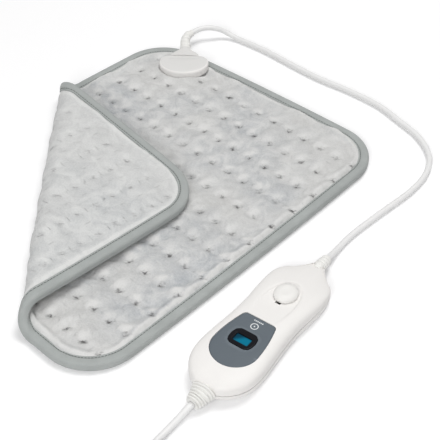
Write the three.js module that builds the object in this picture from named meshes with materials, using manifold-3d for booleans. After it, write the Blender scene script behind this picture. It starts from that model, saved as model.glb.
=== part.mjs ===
// Heating pad with a wired hand control, in millimetres, +Z up.
// The origin is the middle of the pad's underside, on the surface that it lies on.
// +Y runs along the pad towards the edge that carries the socket, and one corner is folded over.
import * as THREE from 'three';
import { ConvexHull } from 'three/addons/math/ConvexHull.js';
import { mergeVertices } from 'three/addons/utils/BufferGeometryUtils.js';
import Module from 'manifold-3d';

const wasm = await Module();
wasm.setup();

// Shared clearances
const gap = 0.3;
const seamGap = 0.6;
const overrun = 1;
const halfTurn = Math.PI;
const fullTurn = 2 * Math.PI;
const mergeShare = 0.001;

// Pad outline and layers: corners in order round the pad, as shares of its half sizes
const padWidth = 318;
const padLength = 397;
const padCornerShares = [[-1.038, 0.972], [0.912, 1.058], [0.969, -1.013], [-1.082, -0.957]];
const padCornerRadius = 50;
const padSideBow = 1.5;
const padThickness = 10;
const dotPitchX = 20.8;
const dotPitchY = 30.3;
const dotMargin = 20;
const dotShift = 4;
const dotDepth = 1.4;
const flapDotDepth = 0.6;
const seamThickness = 5.2;
const carrierThickness = 0.5;
const bottomCoverThickness = 3;
const carrierLift = 3.4;
const cavityHeight = 3.8;
const pillowInset = 14;
const sideStep = 34;
const rollStepAngle = 0.38;
const rollSpacing = 28;
const cornerSteps = 7;
const walkSteps = 200;
// Pitch of the plan points where no dots show, as shares of the dots' pitches
const coarsePitchShares = [2, 1.4];
// How far points are nudged off their regular places before they are triangulated
const nudgeShare = 0.0005;

// Heating wire, its runs set in from the pad's sides and ends, and the thermostat in its lead
const wireDiameter = 1.2;
const wireSides = 4;
const wireRuns = 8;
const wireSideMargin = 36.5;
const wireEndMargin = 58.5;
const wireReturnRise = 1.5;
const wireBendSteps = 5;
const wireWalkSteps = 160;
const terminalPitch = 10;
const thermostatWidth = 7;
const thermostatLength = 16;
const thermostatThickness = 2;

// Fold: the pad rolls over along a line in plan, tighter towards the near edge
const foldHeading = 0.74;
const foldDistance = 72.6;
const foldRadiusFar = 14.9;
const foldRadiusNear = 10;
const foldSpanFar = 175;
const foldSpanNear = 185;
const flapDroop = 0.09;

// Edge binding: a folded tape round the rim, held by the seam
const bindingWidth = 10.6;
const bindingTape = 1.5;
const bindingHeight = 8.8;
const bindingSeam = 3.4;
const bindingRimGap = 1;

// Cords
const cordDiameter = 6;
const cordSides = 8;
const cordStep = 13;
const cordLift = 3.3;

// Connector on the pad: fixed socket and the plug that pulls out of it
const socketFromSide = 56;
const socketFromEnd = 32;
const socketTurn = 0.733;
const socketHalfWidth = 26.8;
const socketFront = 21.5;
const socketBack = 12;
const socketBackShare = 0.68;
const socketShoulderShare = 0.9;
const socketShoulderRiseShare = 0.85;
const socketHeight = 11;
const socketBevel = 2.2;
const socketSteps = 6;
const baseThickness = 1.5;
const baseInset = 4.5;
const spigotRadius = 5.4;
const backingRingRadius = 11;
const backingRingThickness = 0.45;
const pocketClearance = 0.4;
const tongueHalfWidth = 12;
const tongueHeight = 5.6;
const tongueLength = 12;
const contactCount = 3;
const contactPitch = 7;
const contactRadius = 1;
const contactSeat = 4;
const contactSides = 12;
const plugMiddle = 15.4;
const plugShoulder = 16;
const plugBodyLength = 15;
const plugBodyHeight = 9.2;
const plugSides = 20;
const plugNeck = 6.1;
const plugReliefEndWidth = 4.4;
const plugReliefRibs = 5;
// Where the plug's sleeve bends towards the cord, from the socket's centre
const plugReliefBend = new THREE.Vector2(-32.4, 34.9);

// Hand control: length along its own +Y, towards the pad's cord
const handsetCentre = new THREE.Vector2(213.2, -54);
const handsetTurn = 0.1344;
const handsetLength = 171;
const handsetWidth = 64;
const handsetHeight = 23.5;
const partingHeight = 10.5;
const shellWall = 2.2;
const handsetCrownDrop = 8.3;
const handsetSteps = 16;
const domePower = 4.5;
const bellyPower = 3.2;
const ceilingDepth = 5.3;
// Half-widths along the housing, from the pad's end to the mains end, as shares of its sizes
const handsetOutlineShares = [
  [0.5, 0.1], [0.485, 0.125], [0.465, 0.168], [0.425, 0.262], [0.385, 0.382], [0.33, 0.442],
  [0.25, 0.457], [0.16, 0.446], [0.06, 0.428], [-0.06, 0.437], [-0.18, 0.468], [-0.28, 0.487],
  [-0.36, 0.472], [-0.42, 0.41], [-0.465, 0.31], [-0.488, 0.225], [-0.5, 0.165],
];

// Display plate, lens and panel in the hand control
const plateTop = -6;
const plateTopWidth = 31;
const plateWidth = 43;
const plateWidest = -43;
const plateBottom = -64;
const plateCorner = 3.5;
const plateThickness = 1.5;
const plateSeatDepth = 2.3;
const plateSteps = 6;
const lensCentre = -32.4;
const lensWidth = 24;
const lensLength = 18.4;
const lensThickness = 3.8;
const lensStand = 0.7;
const lensOutlineShares = [
  [0.5, 0.06], [0.48, -0.22], [0.42, -0.4], [0.28, -0.5], [-0.28, -0.5], [-0.42, -0.4],
  [-0.48, -0.22], [-0.5, 0.06], [-0.45, 0.34], [-0.3, 0.5], [0.3, 0.5], [0.45, 0.34],
];
const panelWidth = 22;
const panelLength = 15;
const panelThickness = 2.2;

// Slider in the hand control, along a shallow slope that follows the crown
const sliderPlace = 32;
const sliderSlope = 0.077;
const sliderFloorDepth = 2.9;
const sliderTowardPad = 4;
const sliderTowardDisplay = 8;
const knobWidth = 21;
const knobLength = 24.5;
const knobHeight = 5.7;
const knobSides = 24;
// Levels of the knob's dome: shares of its height, and insets as shares of its width
const knobLevelShares = [[0.34, 0], [0.62, 0.05], [0.84, 0.14], [0.96, 0.26], [1, 0.4]];
const stemWidth = 4;
const stemLength = 10;
const slotEndMargin = 4.5;
const carriageWidth = 18;
const carriageLength = 16;
const carriageThickness = 2.6;
const slideTrackThickness = 2;
const fingerWidth = 2.4;
const fingerReach = 4.6;
const recessTop = 17;
const recessHalfWidth = 15;
const recessBottomHalfWidth = 11.5;
const recessWidest = -13;
const recessSteps = 10;

// Circuit board, switch, bosses and screws in the hand control
const boardSideMargin = 13;
const boardTopClearance = 2.7;
const boardBottomClearance = 4.7;
const boardThickness = 1.6;
const pegRadius = 2.5;
const pegFromSide = 4;
const pegFromTop = 12;
const pegFromBottom = 16;
const switchWidth = 12;
const switchLength = 26;
const switchHeight = 4;
const switchStandoff = 3.3;
const switchGrooveWidth = 4.4;
const switchGrooveDepth = 2.6;
const bossRadius = 3.3;
const upperBossFromSide = 15.5;
const upperBossFromEnd = 25.5;
const lowerBossFromSide = 13.5;
const lowerBossFromEnd = 19.5;
const screwRadius = 1.3;
const screwHeadRadius = 2.7;
const screwHeadHeight = 1.8;
const screwLength = 11;
const screwRecess = 2.6;
const screwDriveSides = 4;
const postSides = 12;

// Strain reliefs: their roots are gripped between the hand control's shells
const upperReliefWidth = 6.2;
const upperReliefEndWidth = 5;
const upperReliefLength = 12;
const upperReliefRibs = 4;
const lowerReliefWidth = 11.6;
const lowerReliefHeight = 8.4;
const lowerReliefEndWidth = 6.7;
const lowerReliefDrop = 0.5;
const lowerReliefRibs = 6;
const reliefRoot = 5;
const reliefRootShare = 0.84;
const reliefRootSides = 16;
const reliefGroove = 0.9;
const reliefSides = 12;
// Share of each rib's pitch at which its crown and the groove after it begin and end
const ribShares = [0, 0.56, 0.62, 0.94];

// Mains coil, its tie and the mains plug, in the order that the cord reaches them
const coilCentre = new THREE.Vector2(274, -250);
const coilLift = 1.3;
const coilTurns = 9.25;
const coilLayers = 4;
const coilMeanRadius = 33;
const coilPitch = 6.7;
const coilStepsPerTurn = 24;
const coilSides = 6;
const coilStartAngle = halfTurn;
const tieWidth = 6;
const tieThickness = 0.8;
const tieClearance = 0.5;
const tieAngle = 0.7;
const tieSides = 28;
const tieSquareness = 9;
const mainsPlugWidth = 26;
const mainsPlugLength = 35;
const mainsPlugHeight = 13.7;
const mainsPlugSides = 24;
const mainsPinRadius = 2;
const mainsPinLength = 19;
const mainsPinPitch = 18.6;
const mainsPinSeat = 6;
const mainsPinSides = 14;
const mainsReliefLength = 24;
const mainsReliefWidth = 5.4;
const mainsReliefEndWidth = 3.7;
const mainsReliefRibs = 6;
const mainsReliefSides = 10;
const mainsPlugGap = 70;
// Where the tail leaves the coil's height and where it lands, as shares of its length and height
const tailLeaveShare = 1 / 3;
const tailLandShare = 0.62;
const tailDropShare = 0.78;

// Places that follow from the sizes above
const socketCentre = new THREE.Vector2(socketFromSide - padWidth / 2, padLength / 2 - socketFromEnd);
const dotColumns = Math.floor((padWidth - 2 * dotMargin) / dotPitchX) + 1;
const dotRows = Math.floor((padLength - 2 * dotMargin) / dotPitchY) + 1;
const interiorMargin = pillowInset + dotPitchX / 4;
const wirePitch = (padWidth - 2 * wireSideMargin) / (wireRuns - 1);
const wireRunLength = padLength - 2 * wireEndMargin;
const firstRunX = wireSideMargin - padWidth / 2;
const wireReturn = socketCentre.y + wireReturnRise;
const thermostatPlace = new THREE.Vector2(firstRunX, wireReturn - terminalPitch - thermostatLength / 2);
const ceilingHeight = handsetHeight - ceilingDepth;
const plateSeatHeight = handsetHeight - plateSeatDepth;
const sliderFloor = handsetHeight - sliderFloorDepth;
const recessBottom = plateTop - sliderPlace;
const reliefMiddle = partingHeight - gap;
const upperBoss = new THREE.Vector2(
  handsetWidth / 2 - upperBossFromSide,
  handsetLength / 2 - upperBossFromEnd,
);
const lowerBoss = new THREE.Vector2(
  handsetWidth / 2 - lowerBossFromSide,
  lowerBossFromEnd - handsetLength / 2,
);
const boardWidth = handsetWidth - 2 * boardSideMargin;
const boardTop = upperBoss.y - bossRadius - boardTopClearance;
const boardBottom = lowerBoss.y + bossRadius + boardBottomClearance;
const carriageTop = -slideTrackThickness - gap;
const carriageFoot = carriageTop - carriageThickness;
const switchTop = sliderFloor + carriageFoot - switchStandoff;
const switchBase = switchTop - switchHeight;
const boardBase = switchBase - gap - boardThickness;
const boardSeatHeight = boardBase - gap;

// Colours
const plush = new THREE.MeshStandardMaterial({ color: 0xcfcfcd, roughness: 1, metalness: 0 });
const plushBack = new THREE.MeshStandardMaterial({ color: 0xd8d9d7, roughness: 1, metalness: 0 });
const tape = new THREE.MeshStandardMaterial({ color: 0xa9b0ac, roughness: 0.9, metalness: 0 });
const felt = new THREE.MeshStandardMaterial({ color: 0xf1efe8, roughness: 1, metalness: 0 });
const insulation = new THREE.MeshStandardMaterial({ color: 0xb5532f, roughness: 0.6, metalness: 0 });
const white = new THREE.MeshStandardMaterial({ color: 0xf0ede9, roughness: 0.35, metalness: 0 });
const whiteRubber = new THREE.MeshStandardMaterial({ color: 0xe9e8e4, roughness: 0.55, metalness: 0 });
const slate = new THREE.MeshStandardMaterial({ color: 0x67717a, roughness: 0.45, metalness: 0 });
const lensBlack = new THREE.MeshStandardMaterial({ color: 0x0b0e13, roughness: 0.08, metalness: 0 });
const litTeal = new THREE.MeshStandardMaterial({ color: 0x0d7ba6, roughness: 0.3, metalness: 0 });
const boardGreen = new THREE.MeshStandardMaterial({ color: 0x2e6b45, roughness: 0.5, metalness: 0 });
const darkPlastic = new THREE.MeshStandardMaterial({ color: 0x2b2c2e, roughness: 0.5, metalness: 0 });
const steel = new THREE.MeshStandardMaterial({ color: 0xb9bcc0, roughness: 0.3, metalness: 1 });
const brass = new THREE.MeshStandardMaterial({ color: 0xc9a85a, roughness: 0.3, metalness: 1 });

const part = new THREE.Group();

function addPiece(name, geometry, material, parent = part) {
  const mesh = new THREE.Mesh(geometry, material);
  mesh.name = name;
  parent.add(mesh);
  return mesh;
}

// Shared tools: closed skins, joins and cuts

function signedVolume(positions, index) {
  const [a, b, c] = [new THREE.Vector3(), new THREE.Vector3(), new THREE.Vector3()];
  let volume = 0;
  for (let i = 0; i < index.length; i += 3) {
    a.fromArray(positions, index[i] * 3);
    b.fromArray(positions, index[i + 1] * 3);
    c.fromArray(positions, index[i + 2] * 3);
    volume += a.dot(b.cross(c));
  }
  return volume;
}

// A closed geometry from points and triangles, turned so that its faces point out
function closedGeometry(points, triangles) {
  const positions = points.flatMap((point) => [point.x, point.y, point.z]);
  let index = triangles.flat();
  if (signedVolume(positions, index) < 0) {
    index = triangles.flatMap(([a, b, c]) => [a, c, b]);
  }
  const geometry = new THREE.BufferGeometry();
  geometry.setAttribute('position', new THREE.Float32BufferAttribute(positions, 3));
  geometry.setIndex(index);
  return geometry;
}

// A skin over rings of equally many points, closed by a fan at each end
function skin(rings) {
  const count = rings[0].length;
  const points = rings.flat();
  const triangles = [];
  for (let r = 0; r + 1 < rings.length; r += 1) {
    for (let i = 0; i < count; i += 1) {
      const next = (i + 1) % count;
      const [a, b] = [r * count + i, r * count + next];
      triangles.push([a, b, b + count], [a, b + count, a + count]);
    }
  }
  for (const r of [0, rings.length - 1]) {
    const middle = new THREE.Vector3();
    rings[r].forEach((point) => middle.addScaledVector(point, 1 / count));
    points.push(middle);
    for (let i = 0; i < count; i += 1) {
      const [a, b] = [r * count + i, r * count + ((i + 1) % count)];
      triangles.push(r === 0 ? [b, a, points.length - 1] : [a, b, points.length - 1]);
    }
  }
  return closedGeometry(points, triangles);
}

// A flat outline lifted through levels, each a height and an inset
function stack(outline, levels) {
  return skin(levels.map(([height, inset]) => outline(inset).map(
    (point) => new THREE.Vector3(point.x, point.y, height),
  )));
}

function box(width, length, height, x, y, z) {
  return new THREE.BoxGeometry(width, length, height).translate(x, y, z);
}

// An upright cylinder between two heights
function post(radius, low, high, x, y, sides = postSides) {
  const geometry = new THREE.CylinderGeometry(radius, radius, high - low, sides);
  return geometry.rotateX(halfTurn / 2).translate(x, y, (low + high) / 2);
}

function toSolid(geometry) {
  const bare = geometry.clone();
  bare.deleteAttribute('normal');
  bare.deleteAttribute('uv');
  const merged = mergeVertices(bare, gap * mergeShare);
  return new wasm.Manifold(new wasm.Mesh({
    numProp: 3,
    vertProperties: merged.attributes.position.array,
    triVerts: new Uint32Array(merged.index.array),
  }));
}

function toGeometry(solid) {
  const mesh = solid.getMesh();
  const geometry = new THREE.BufferGeometry();
  geometry.setAttribute('position', new THREE.Float32BufferAttribute(mesh.vertProperties, 3));
  geometry.setIndex(Array.from(mesh.triVerts));
  return geometry;
}

function cut(geometry, ...tools) {
  return toGeometry(tools.reduce((solid, tool) => solid.subtract(toSolid(tool)), toSolid(geometry)));
}

function join(geometry, ...others) {
  return toGeometry(others.reduce((solid, other) => solid.add(toSolid(other)), toSolid(geometry)));
}

function common(geometry, other) {
  return toGeometry(toSolid(geometry).intersect(toSolid(other)));
}

// Shared tools: tubes and ribbed sleeves along a line

// A line through fixed stations, so that an extrusion steps exactly at them
class StationLine extends THREE.Curve {
  constructor(stations) {
    super();
    this.stations = stations;
  }

  getPoint(share, target = new THREE.Vector3()) {
    const place = share * (this.stations.length - 1);
    const before = Math.min(Math.floor(place), this.stations.length - 2);
    return target.lerpVectors(this.stations[before], this.stations[before + 1], place - before);
  }

  getPointAt(share, target) {
    return this.getPoint(share, target);
  }

  getTangentAt(share, target) {
    return this.getTangent(share, target);
  }
}

function tube(stations, diameter, sides) {
  const section = new THREE.Shape();
  for (let i = 0; i < sides; i += 1) {
    const angle = (fullTurn * (i + 1 / 2)) / sides;
    const [x, y] = [Math.cos(angle), Math.sin(angle)].map((share) => (share * diameter) / 2);
    if (i === 0) section.moveTo(x, y);
    else section.lineTo(x, y);
  }
  section.closePath();
  return new THREE.ExtrudeGeometry(section, {
    steps: stations.length - 1,
    extrudePath: new StationLine(stations),
    bevelEnabled: false,
  });
}

// A free cord through its route points, with straight ends one diameter long
function cordTube(route) {
  const places = route.map((point) => new THREE.Vector3(...point));
  const curve = new THREE.CatmullRomCurve3(places, false, 'centripetal');
  const stops = curve.getSpacedPoints(Math.round(curve.getLength() / cordStep));
  const [first, last] = [stops[0], stops[stops.length - 1]];
  const leaving = places[1].clone().sub(first).setLength(cordDiameter).add(first);
  const arriving = places[places.length - 2].clone().sub(last).setLength(cordDiameter).add(last);
  return tube([first, leaving, ...stops.slice(1, -1), arriving, last], cordDiameter, cordSides);
}

// An upright oval ring across a line, square to its direction there
function ovalRing(centre, direction, halfWidth, halfHeight, count, power = 2) {
  const side = new THREE.Vector3(direction.y, -direction.x, 0).normalize();
  const up = new THREE.Vector3().crossVectors(side, direction).normalize();
  return Array.from({ length: count }, (_, i) => {
    const angle = (fullTurn * i) / count;
    const [c, s] = [Math.cos(angle), Math.sin(angle)];
    const across = Math.sign(c) * Math.abs(c) ** (2 / power) * halfWidth;
    const rise = Math.sign(s) * Math.abs(s) ** (2 / power) * halfHeight;
    return centre.clone().addScaledVector(side, across).addScaledVector(up, rise);
  });
}

// A tapered sleeve with ribs along a line, oval at its root and round at its tip
function ribbedSleeve(route, ribs, root, tip, count) {
  const curve = new THREE.CatmullRomCurve3(route);
  const rings = [];
  for (let i = 0; i < ribs; i += 1) {
    ribShares.forEach((within, k) => {
      const share = (i + within) / ribs;
      const depth = k > 1 ? reliefGroove : 0;
      rings.push(ovalRing(
        curve.getPointAt(share),
        curve.getTangentAt(share),
        THREE.MathUtils.lerp(root.halfWidth, tip, share) - depth,
        THREE.MathUtils.lerp(root.halfHeight, tip, share) - depth,
        count,
      ));
    });
  }
  rings.push(ovalRing(curve.getPointAt(1), curve.getTangentAt(1), tip, tip, count));
  return skin(rings);
}

// Pad: plan outline, fold and triangulation

const foldNormal = new THREE.Vector2(-Math.cos(foldHeading), -Math.sin(foldHeading));
const foldLine = new THREE.Vector2(Math.sin(foldHeading), -Math.cos(foldHeading));
const flapTurn = halfTurn + flapDroop;

function foldRadiusAt(along) {
  const share = THREE.MathUtils.clamp((along + foldSpanFar) / (foldSpanFar + foldSpanNear), 0, 1);
  return THREE.MathUtils.lerp(foldRadiusFar, foldRadiusNear, share);
}

// Where a point of the flat pad comes to lie, at a depth below the pad's middle surface
function folded(x, y, depth) {
  const plan = new THREE.Vector2(x, y);
  const across = plan.dot(foldNormal) - foldDistance;
  const along = plan.dot(foldLine);
  const radius = foldRadiusAt(along);
  const turn = THREE.MathUtils.clamp(across / radius, 0, flapTurn);
  const past = Math.max(across - radius * flapTurn, 0);
  const reach = foldDistance + Math.min(across, 0) + (radius + depth) * Math.sin(turn)
    - past * Math.cos(flapDroop);
  const rise = padThickness / 2 + radius - (radius + depth) * Math.cos(turn)
    - past * Math.sin(flapDroop);
  const place = foldNormal.clone().multiplyScalar(reach).addScaledVector(foldLine, along);
  return new THREE.Vector3(place.x, place.y, rise);
}

function foldTurnAt(plan) {
  const radius = foldRadiusAt(plan.dot(foldLine));
  return THREE.MathUtils.clamp((plan.dot(foldNormal) - foldDistance) / radius, 0, flapTurn);
}

// Stations round the outline, each a plan point and its outward direction, clockwise from above
function outlineStations() {
  const corners = padCornerShares.map(([u, v]) => (
    new THREE.Vector2((u * padWidth) / 2, (v * padLength) / 2)
  ));
  const arcs = corners.map((corner, k) => {
    const before = corners[(k + 3) % 4].clone().sub(corner).normalize();
    const after = corners[(k + 1) % 4].clone().sub(corner).normalize();
    const half = Math.acos(before.dot(after)) / 2;
    const inward = before.clone().add(after).normalize();
    const centre = inward.multiplyScalar(padCornerRadius / Math.sin(half)).add(corner);
    const touch = before.clone().multiplyScalar(padCornerRadius / Math.tan(half)).add(corner);
    const start = touch.sub(centre).angle();
    return { centre, start, sweep: halfTurn - 2 * half };
  });
  const stations = [];
  arcs.forEach((arc, k) => {
    for (let i = 0; i <= cornerSteps; i += 1) {
      const angle = arc.start - (arc.sweep * i) / cornerSteps;
      const outward = new THREE.Vector2(Math.cos(angle), Math.sin(angle));
      stations.push({ outward, point: outward.clone().multiplyScalar(padCornerRadius).add(arc.centre) });
    }
    const next = arcs[(k + 1) % 4];
    const from = stations[stations.length - 1].point;
    const to = new THREE.Vector2(Math.cos(next.start), Math.sin(next.start));
    to.multiplyScalar(padCornerRadius).add(next.centre);
    const { outward } = stations[stations.length - 1];
    const length = from.distanceTo(to);
    let due = 0;
    let turnBefore = foldTurnAt(from);
    for (let i = 1; i < walkSteps; i += 1) {
      const share = i / walkSteps;
      const bow = padSideBow * 4 * share * (1 - share);
      const point = from.clone().lerp(to, share).addScaledVector(outward, bow);
      const turn = foldTurnAt(point);
      due += length / walkSteps / sideStep + Math.abs(turn - turnBefore) / rollStepAngle;
      turnBefore = turn;
      if (due >= 1 && share < 1 - cordStep / 2 / length) {
        stations.push({ outward, point });
        due -= 1;
      }
    }
  });
  return stations;
}

const stations = outlineStations();

// A ring of layer points at an inset from the outline
function ringAt(inset, depth) {
  return stations.map(({ point, outward }) => {
    const place = point.clone().addScaledVector(outward, -inset);
    return { x: place.x, y: place.y, depth };
  });
}

function isInside(x, y, margin) {
  return stations.every(({ point, outward }) => (
    (point.x - x) * outward.x + (point.y - y) * outward.y > margin
  ));
}

// A triangulation of a ring and the plan points in it, as the underside of their hull when
// they are lifted to a bowl
function triangulate(ring, inside) {
  const nudge = dotPitchX * nudgeShare;
  const bowl = padLength;
  const lifted = [...ring, ...inside].map(({ x, y }, i) => {
    const shift = i < ring.length ? 0 : nudge;
    const u = x + shift * Math.sin(x + y * halfTurn);
    const v = y + shift * Math.cos(y + x * halfTurn);
    return new THREE.Vector3(u, v, (u * u + v * v) / bowl);
  });
  const numberOf = new Map(lifted.map((point, i) => [point, i]));
  const hull = new ConvexHull().setFromPoints(lifted);
  const triangles = [];
  for (const face of hull.faces) {
    if (face.normal.z < 0) {
      const edges = [face.edge.prev, face.edge, face.edge.next];
      const [a, b, c] = edges.map((edge) => numberOf.get(edge.head().point));
      triangles.push([a, c, b]);
    }
  }
  return triangles;
}

// The triangles of a surface: strips between its rings, then a triangulation in the last one
function surfaceTriangles({ rings, inside }) {
  const rim = stations.length;
  const triangles = [];
  for (let r = 0; r + 1 < rings.length; r += 1) {
    for (let i = 0; i < rim; i += 1) {
      const [a, b] = [r * rim + i, r * rim + ((i + 1) % rim)];
      triangles.push([a, a + rim, b + rim], [a, b + rim, b]);
    }
  }
  const last = (rings.length - 1) * rim;
  for (const corners of triangulate(rings[rings.length - 1], inside)) {
    triangles.push(corners.map((corner) => corner + last));
  }
  return triangles;
}

// One cloth layer between an upper and a lower surface, closed along their first rings
function layer(upper, lower) {
  const rim = stations.length;
  const upperPoints = [...upper.rings.flat(), ...upper.inside];
  const lowerPoints = [...lower.rings.flat(), ...lower.inside];
  const points = [...upperPoints, ...lowerPoints].map(({ x, y, depth }) => folded(x, y, depth));
  const start = upperPoints.length;
  const triangles = surfaceTriangles(upper);
  for (const [a, b, c] of surfaceTriangles(lower)) {
    triangles.push([start + a, start + c, start + b]);
  }
  for (let i = 0; i < rim; i += 1) {
    const next = (i + 1) % rim;
    triangles.push([i, next, start + next], [i, start + next, start + i]);
  }
  return closedGeometry(points, triangles);
}

// Plan points on a grid centred on the dots, kept where a test allows
function gridPoints(columns, rows, pitchX, pitchY, keep) {
  const points = [];
  for (let j = 0; j < rows; j += 1) {
    for (let i = 0; i < columns; i += 1) {
      const x = (i - (columns - 1) / 2) * pitchX;
      const y = ((rows - 1) / 2 - j) * pitchY - dotShift;
      if (keep(x, y)) points.push({ x, y });
    }
  }
  return points;
}

function acrossFold(x, y) {
  return x * foldNormal.x + y * foldNormal.y - foldDistance;
}

// Plan points on lines along the roll, evenly spaced in turn
function rollPoints() {
  const lines = Math.round(flapTurn / rollStepAngle);
  const reach = padLength / 2;
  const points = [];
  for (let k = 0; k <= lines; k += 1) {
    for (let along = -reach; along <= reach; along += rollSpacing) {
      const across = foldDistance + (foldRadiusAt(along) * flapTurn * k) / lines;
      const place = foldNormal.clone().multiplyScalar(across).addScaledVector(foldLine, along);
      if (isInside(place.x, place.y, interiorMargin)) points.push({ x: place.x, y: place.y });
    }
  }
  return points;
}

// Flat part and flap: inside the rim and clear of the roll's lines
function isOnFlat(x, y) {
  return isInside(x, y, interiorMargin) && acrossFold(x, y) < -rollSpacing / 2;
}

function isOnFlap(x, y) {
  const radius = foldRadiusAt(x * foldLine.x + y * foldLine.y);
  return isInside(x, y, interiorMargin) && acrossFold(x, y) > radius * flapTurn + rollSpacing / 2;
}

function coarseGrid(keep) {
  const [pitchX, pitchY] = [dotPitchX * coarsePitchShares[0], dotPitchY * coarsePitchShares[1]];
  return gridPoints(Math.floor(padWidth / pitchX), Math.floor(padLength / pitchY), pitchX, pitchY, keep);
}

const rollGrid = rollPoints();
const flatGrid = coarseGrid(isOnFlat);
const flapGrid = coarseGrid(isOnFlap);
const innerGrid = [...rollGrid, ...flatGrid, ...flapGrid];

// Surfaces inside the pad share their plan points, so that they never cross in the roll
function innerSurface(rimDepth, depth) {
  return {
    rings: [
      ringAt(bindingTape + bindingRimGap, rimDepth),
      ringAt(bindingWidth, rimDepth),
      ringAt(pillowInset, depth),
    ],
    inside: atDepth(innerGrid, depth),
  };
}

const padHalf = padThickness / 2;
const seamHalf = seamThickness / 2;
const bottomInnerDepth = padHalf - bottomCoverThickness;
const topInnerDepth = bottomInnerDepth - cavityHeight;
const carrierLowerDepth = padHalf - carrierLift;
const carrierUpperDepth = carrierLowerDepth - carrierThickness;
const wireDepth = carrierUpperDepth - seamGap - wireDiameter / 2;
const dotFloorDepth = dotDepth - padHalf;

function nearSocket(x, y) {
  return Math.hypot(x - socketCentre.x, y - socketCentre.y) < socketHalfWidth + dotPitchX / 2;
}

function atDepth(points, depth) {
  return points.map(({ x, y }) => ({ x, y, depth }));
}

// Top cover: low dots with pillows between them, pressed flat under the socket
function topCoverSurface() {
  const dots = gridPoints(dotColumns, dotRows, dotPitchX, dotPitchY, isOnFlat);
  const sides = gridPoints(dotColumns - 1, dotRows, dotPitchX, dotPitchY, isOnFlat);
  const middles = gridPoints(dotColumns - 1, dotRows - 1, dotPitchX, dotPitchY, isOnFlat);
  const pillow = ({ x, y }) => ({ x, y, depth: nearSocket(x, y) ? dotFloorDepth : -padHalf });
  return {
    rings: [
      ringAt(bindingTape + bindingRimGap, -seamHalf),
      ringAt(bindingWidth, -seamHalf),
      ringAt(pillowInset, dotFloorDepth),
    ],
    inside: [
      ...atDepth([...dots, ...rollGrid, ...flapGrid], dotFloorDepth),
      ...sides.map(pillow),
      ...middles.map(pillow),
    ],
  };
}

// Bottom cover: flat where it lies, with shallow dots where the flap shows it
function bottomCoverSurface() {
  const dots = gridPoints(dotColumns, dotRows, dotPitchX, dotPitchY, isOnFlap);
  const sides = gridPoints(dotColumns - 1, dotRows, dotPitchX, dotPitchY, isOnFlap);
  const middles = gridPoints(dotColumns - 1, dotRows - 1, dotPitchX, dotPitchY, isOnFlap);
  return {
    rings: [
      ringAt(bindingTape + bindingRimGap, seamHalf),
      ringAt(bindingWidth, seamHalf),
      ringAt(pillowInset, padHalf),
    ],
    inside: [
      ...atDepth([...flatGrid, ...rollGrid, ...sides, ...middles], padHalf),
      ...atDepth(dots, padHalf - flapDotDepth),
    ],
  };
}

const spigotHole = post(spigotRadius + gap, 0, padThickness + overrun, socketCentre.x, socketCentre.y);
const topCover = layer(topCoverSurface(), innerSurface(-gap, topInnerDepth));
addPiece('pad_top_cover', cut(topCover, spigotHole), plush);
addPiece('pad_bottom_cover', layer(innerSurface(gap, bottomInnerDepth), bottomCoverSurface()), plushBack);

// Heating carrier: a thin felt sheet that holds the wire
function carrierSurface(depth) {
  return {
    rings: [ringAt(pillowInset, depth)],
    inside: atDepth(innerGrid, depth),
  };
}
const carrier = layer(carrierSurface(carrierUpperDepth), carrierSurface(carrierLowerDepth));
addPiece('heating_carrier', carrier, felt);

// Heating wire: runs along the pad, the first from the thermostat, and back to the socket
function wirePlan() {
  const plan = [];
  const thermostatFoot = thermostatPlace.y - thermostatLength / 2 - gap;
  for (let run = 0; run < wireRuns; run += 1) {
    const x = firstRunX + run * wirePitch;
    const down = run % 2 === 0 ? -1 : 1;
    const last = run === wireRuns - 1;
    const from = new THREE.Vector2(x, run === 0 ? thermostatFoot : -down * (wireRunLength / 2) - dotShift);
    const to = new THREE.Vector2(x, down * (wireRunLength / 2) - dotShift);
    const length = from.distanceTo(to);
    let due = 0;
    let turnBefore = foldTurnAt(from);
    plan.push(from);
    for (let i = 1; i < wireWalkSteps; i += 1) {
      const point = from.clone().lerp(to, i / wireWalkSteps);
      const turn = foldTurnAt(point);
      due += length / wireWalkSteps / (2 * wirePitch) + Math.abs(turn - turnBefore) / rollStepAngle;
      turnBefore = turn;
      if (due >= 1) {
        plan.push(point);
        due -= 1;
      }
    }
    plan.push(to);
    for (let i = 1; i < wireBendSteps && !last; i += 1) {
      const angle = (halfTurn * i) / wireBendSteps;
      const bend = new THREE.Vector2(-Math.cos(angle) + 1, down * Math.sin(angle));
      plan.push(bend.multiplyScalar(wirePitch / 2).add(to));
    }
  }
  plan.push(new THREE.Vector2(-firstRunX - wirePitch / 4, wireReturn));
  plan.push(new THREE.Vector2(socketCentre.x + terminalPitch / 2 + wirePitch, wireReturn));
  plan.push(new THREE.Vector2(socketCentre.x + terminalPitch / 2, socketCentre.y));
  return plan;
}

const wireStations = wirePlan().map(({ x, y }) => folded(x, y, wireDepth));
addPiece('heating_wire', tube(wireStations, wireDiameter, wireSides), insulation);

// Thermostat on the carrier, in the lead between the socket and the wire
const wireHeight = padHalf - wireDepth;
const thermostatHeight = padHalf - carrierUpperDepth + gap + thermostatThickness / 2;
addPiece('thermostat', box(thermostatWidth, thermostatLength, thermostatThickness,
  thermostatPlace.x, thermostatPlace.y, thermostatHeight), darkPlastic);
const thermostatHead = thermostatPlace.y + thermostatLength / 2;
const leadStations = [
  new THREE.Vector3(thermostatPlace.x, thermostatHead + gap, wireHeight),
  new THREE.Vector3(thermostatPlace.x, thermostatHead + terminalPitch, wireHeight),
  new THREE.Vector3(socketCentre.x - terminalPitch / 2, socketCentre.y, wireHeight),
];
addPiece('thermostat_lead', tube(leadStations, wireDiameter, wireSides), insulation);

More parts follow.
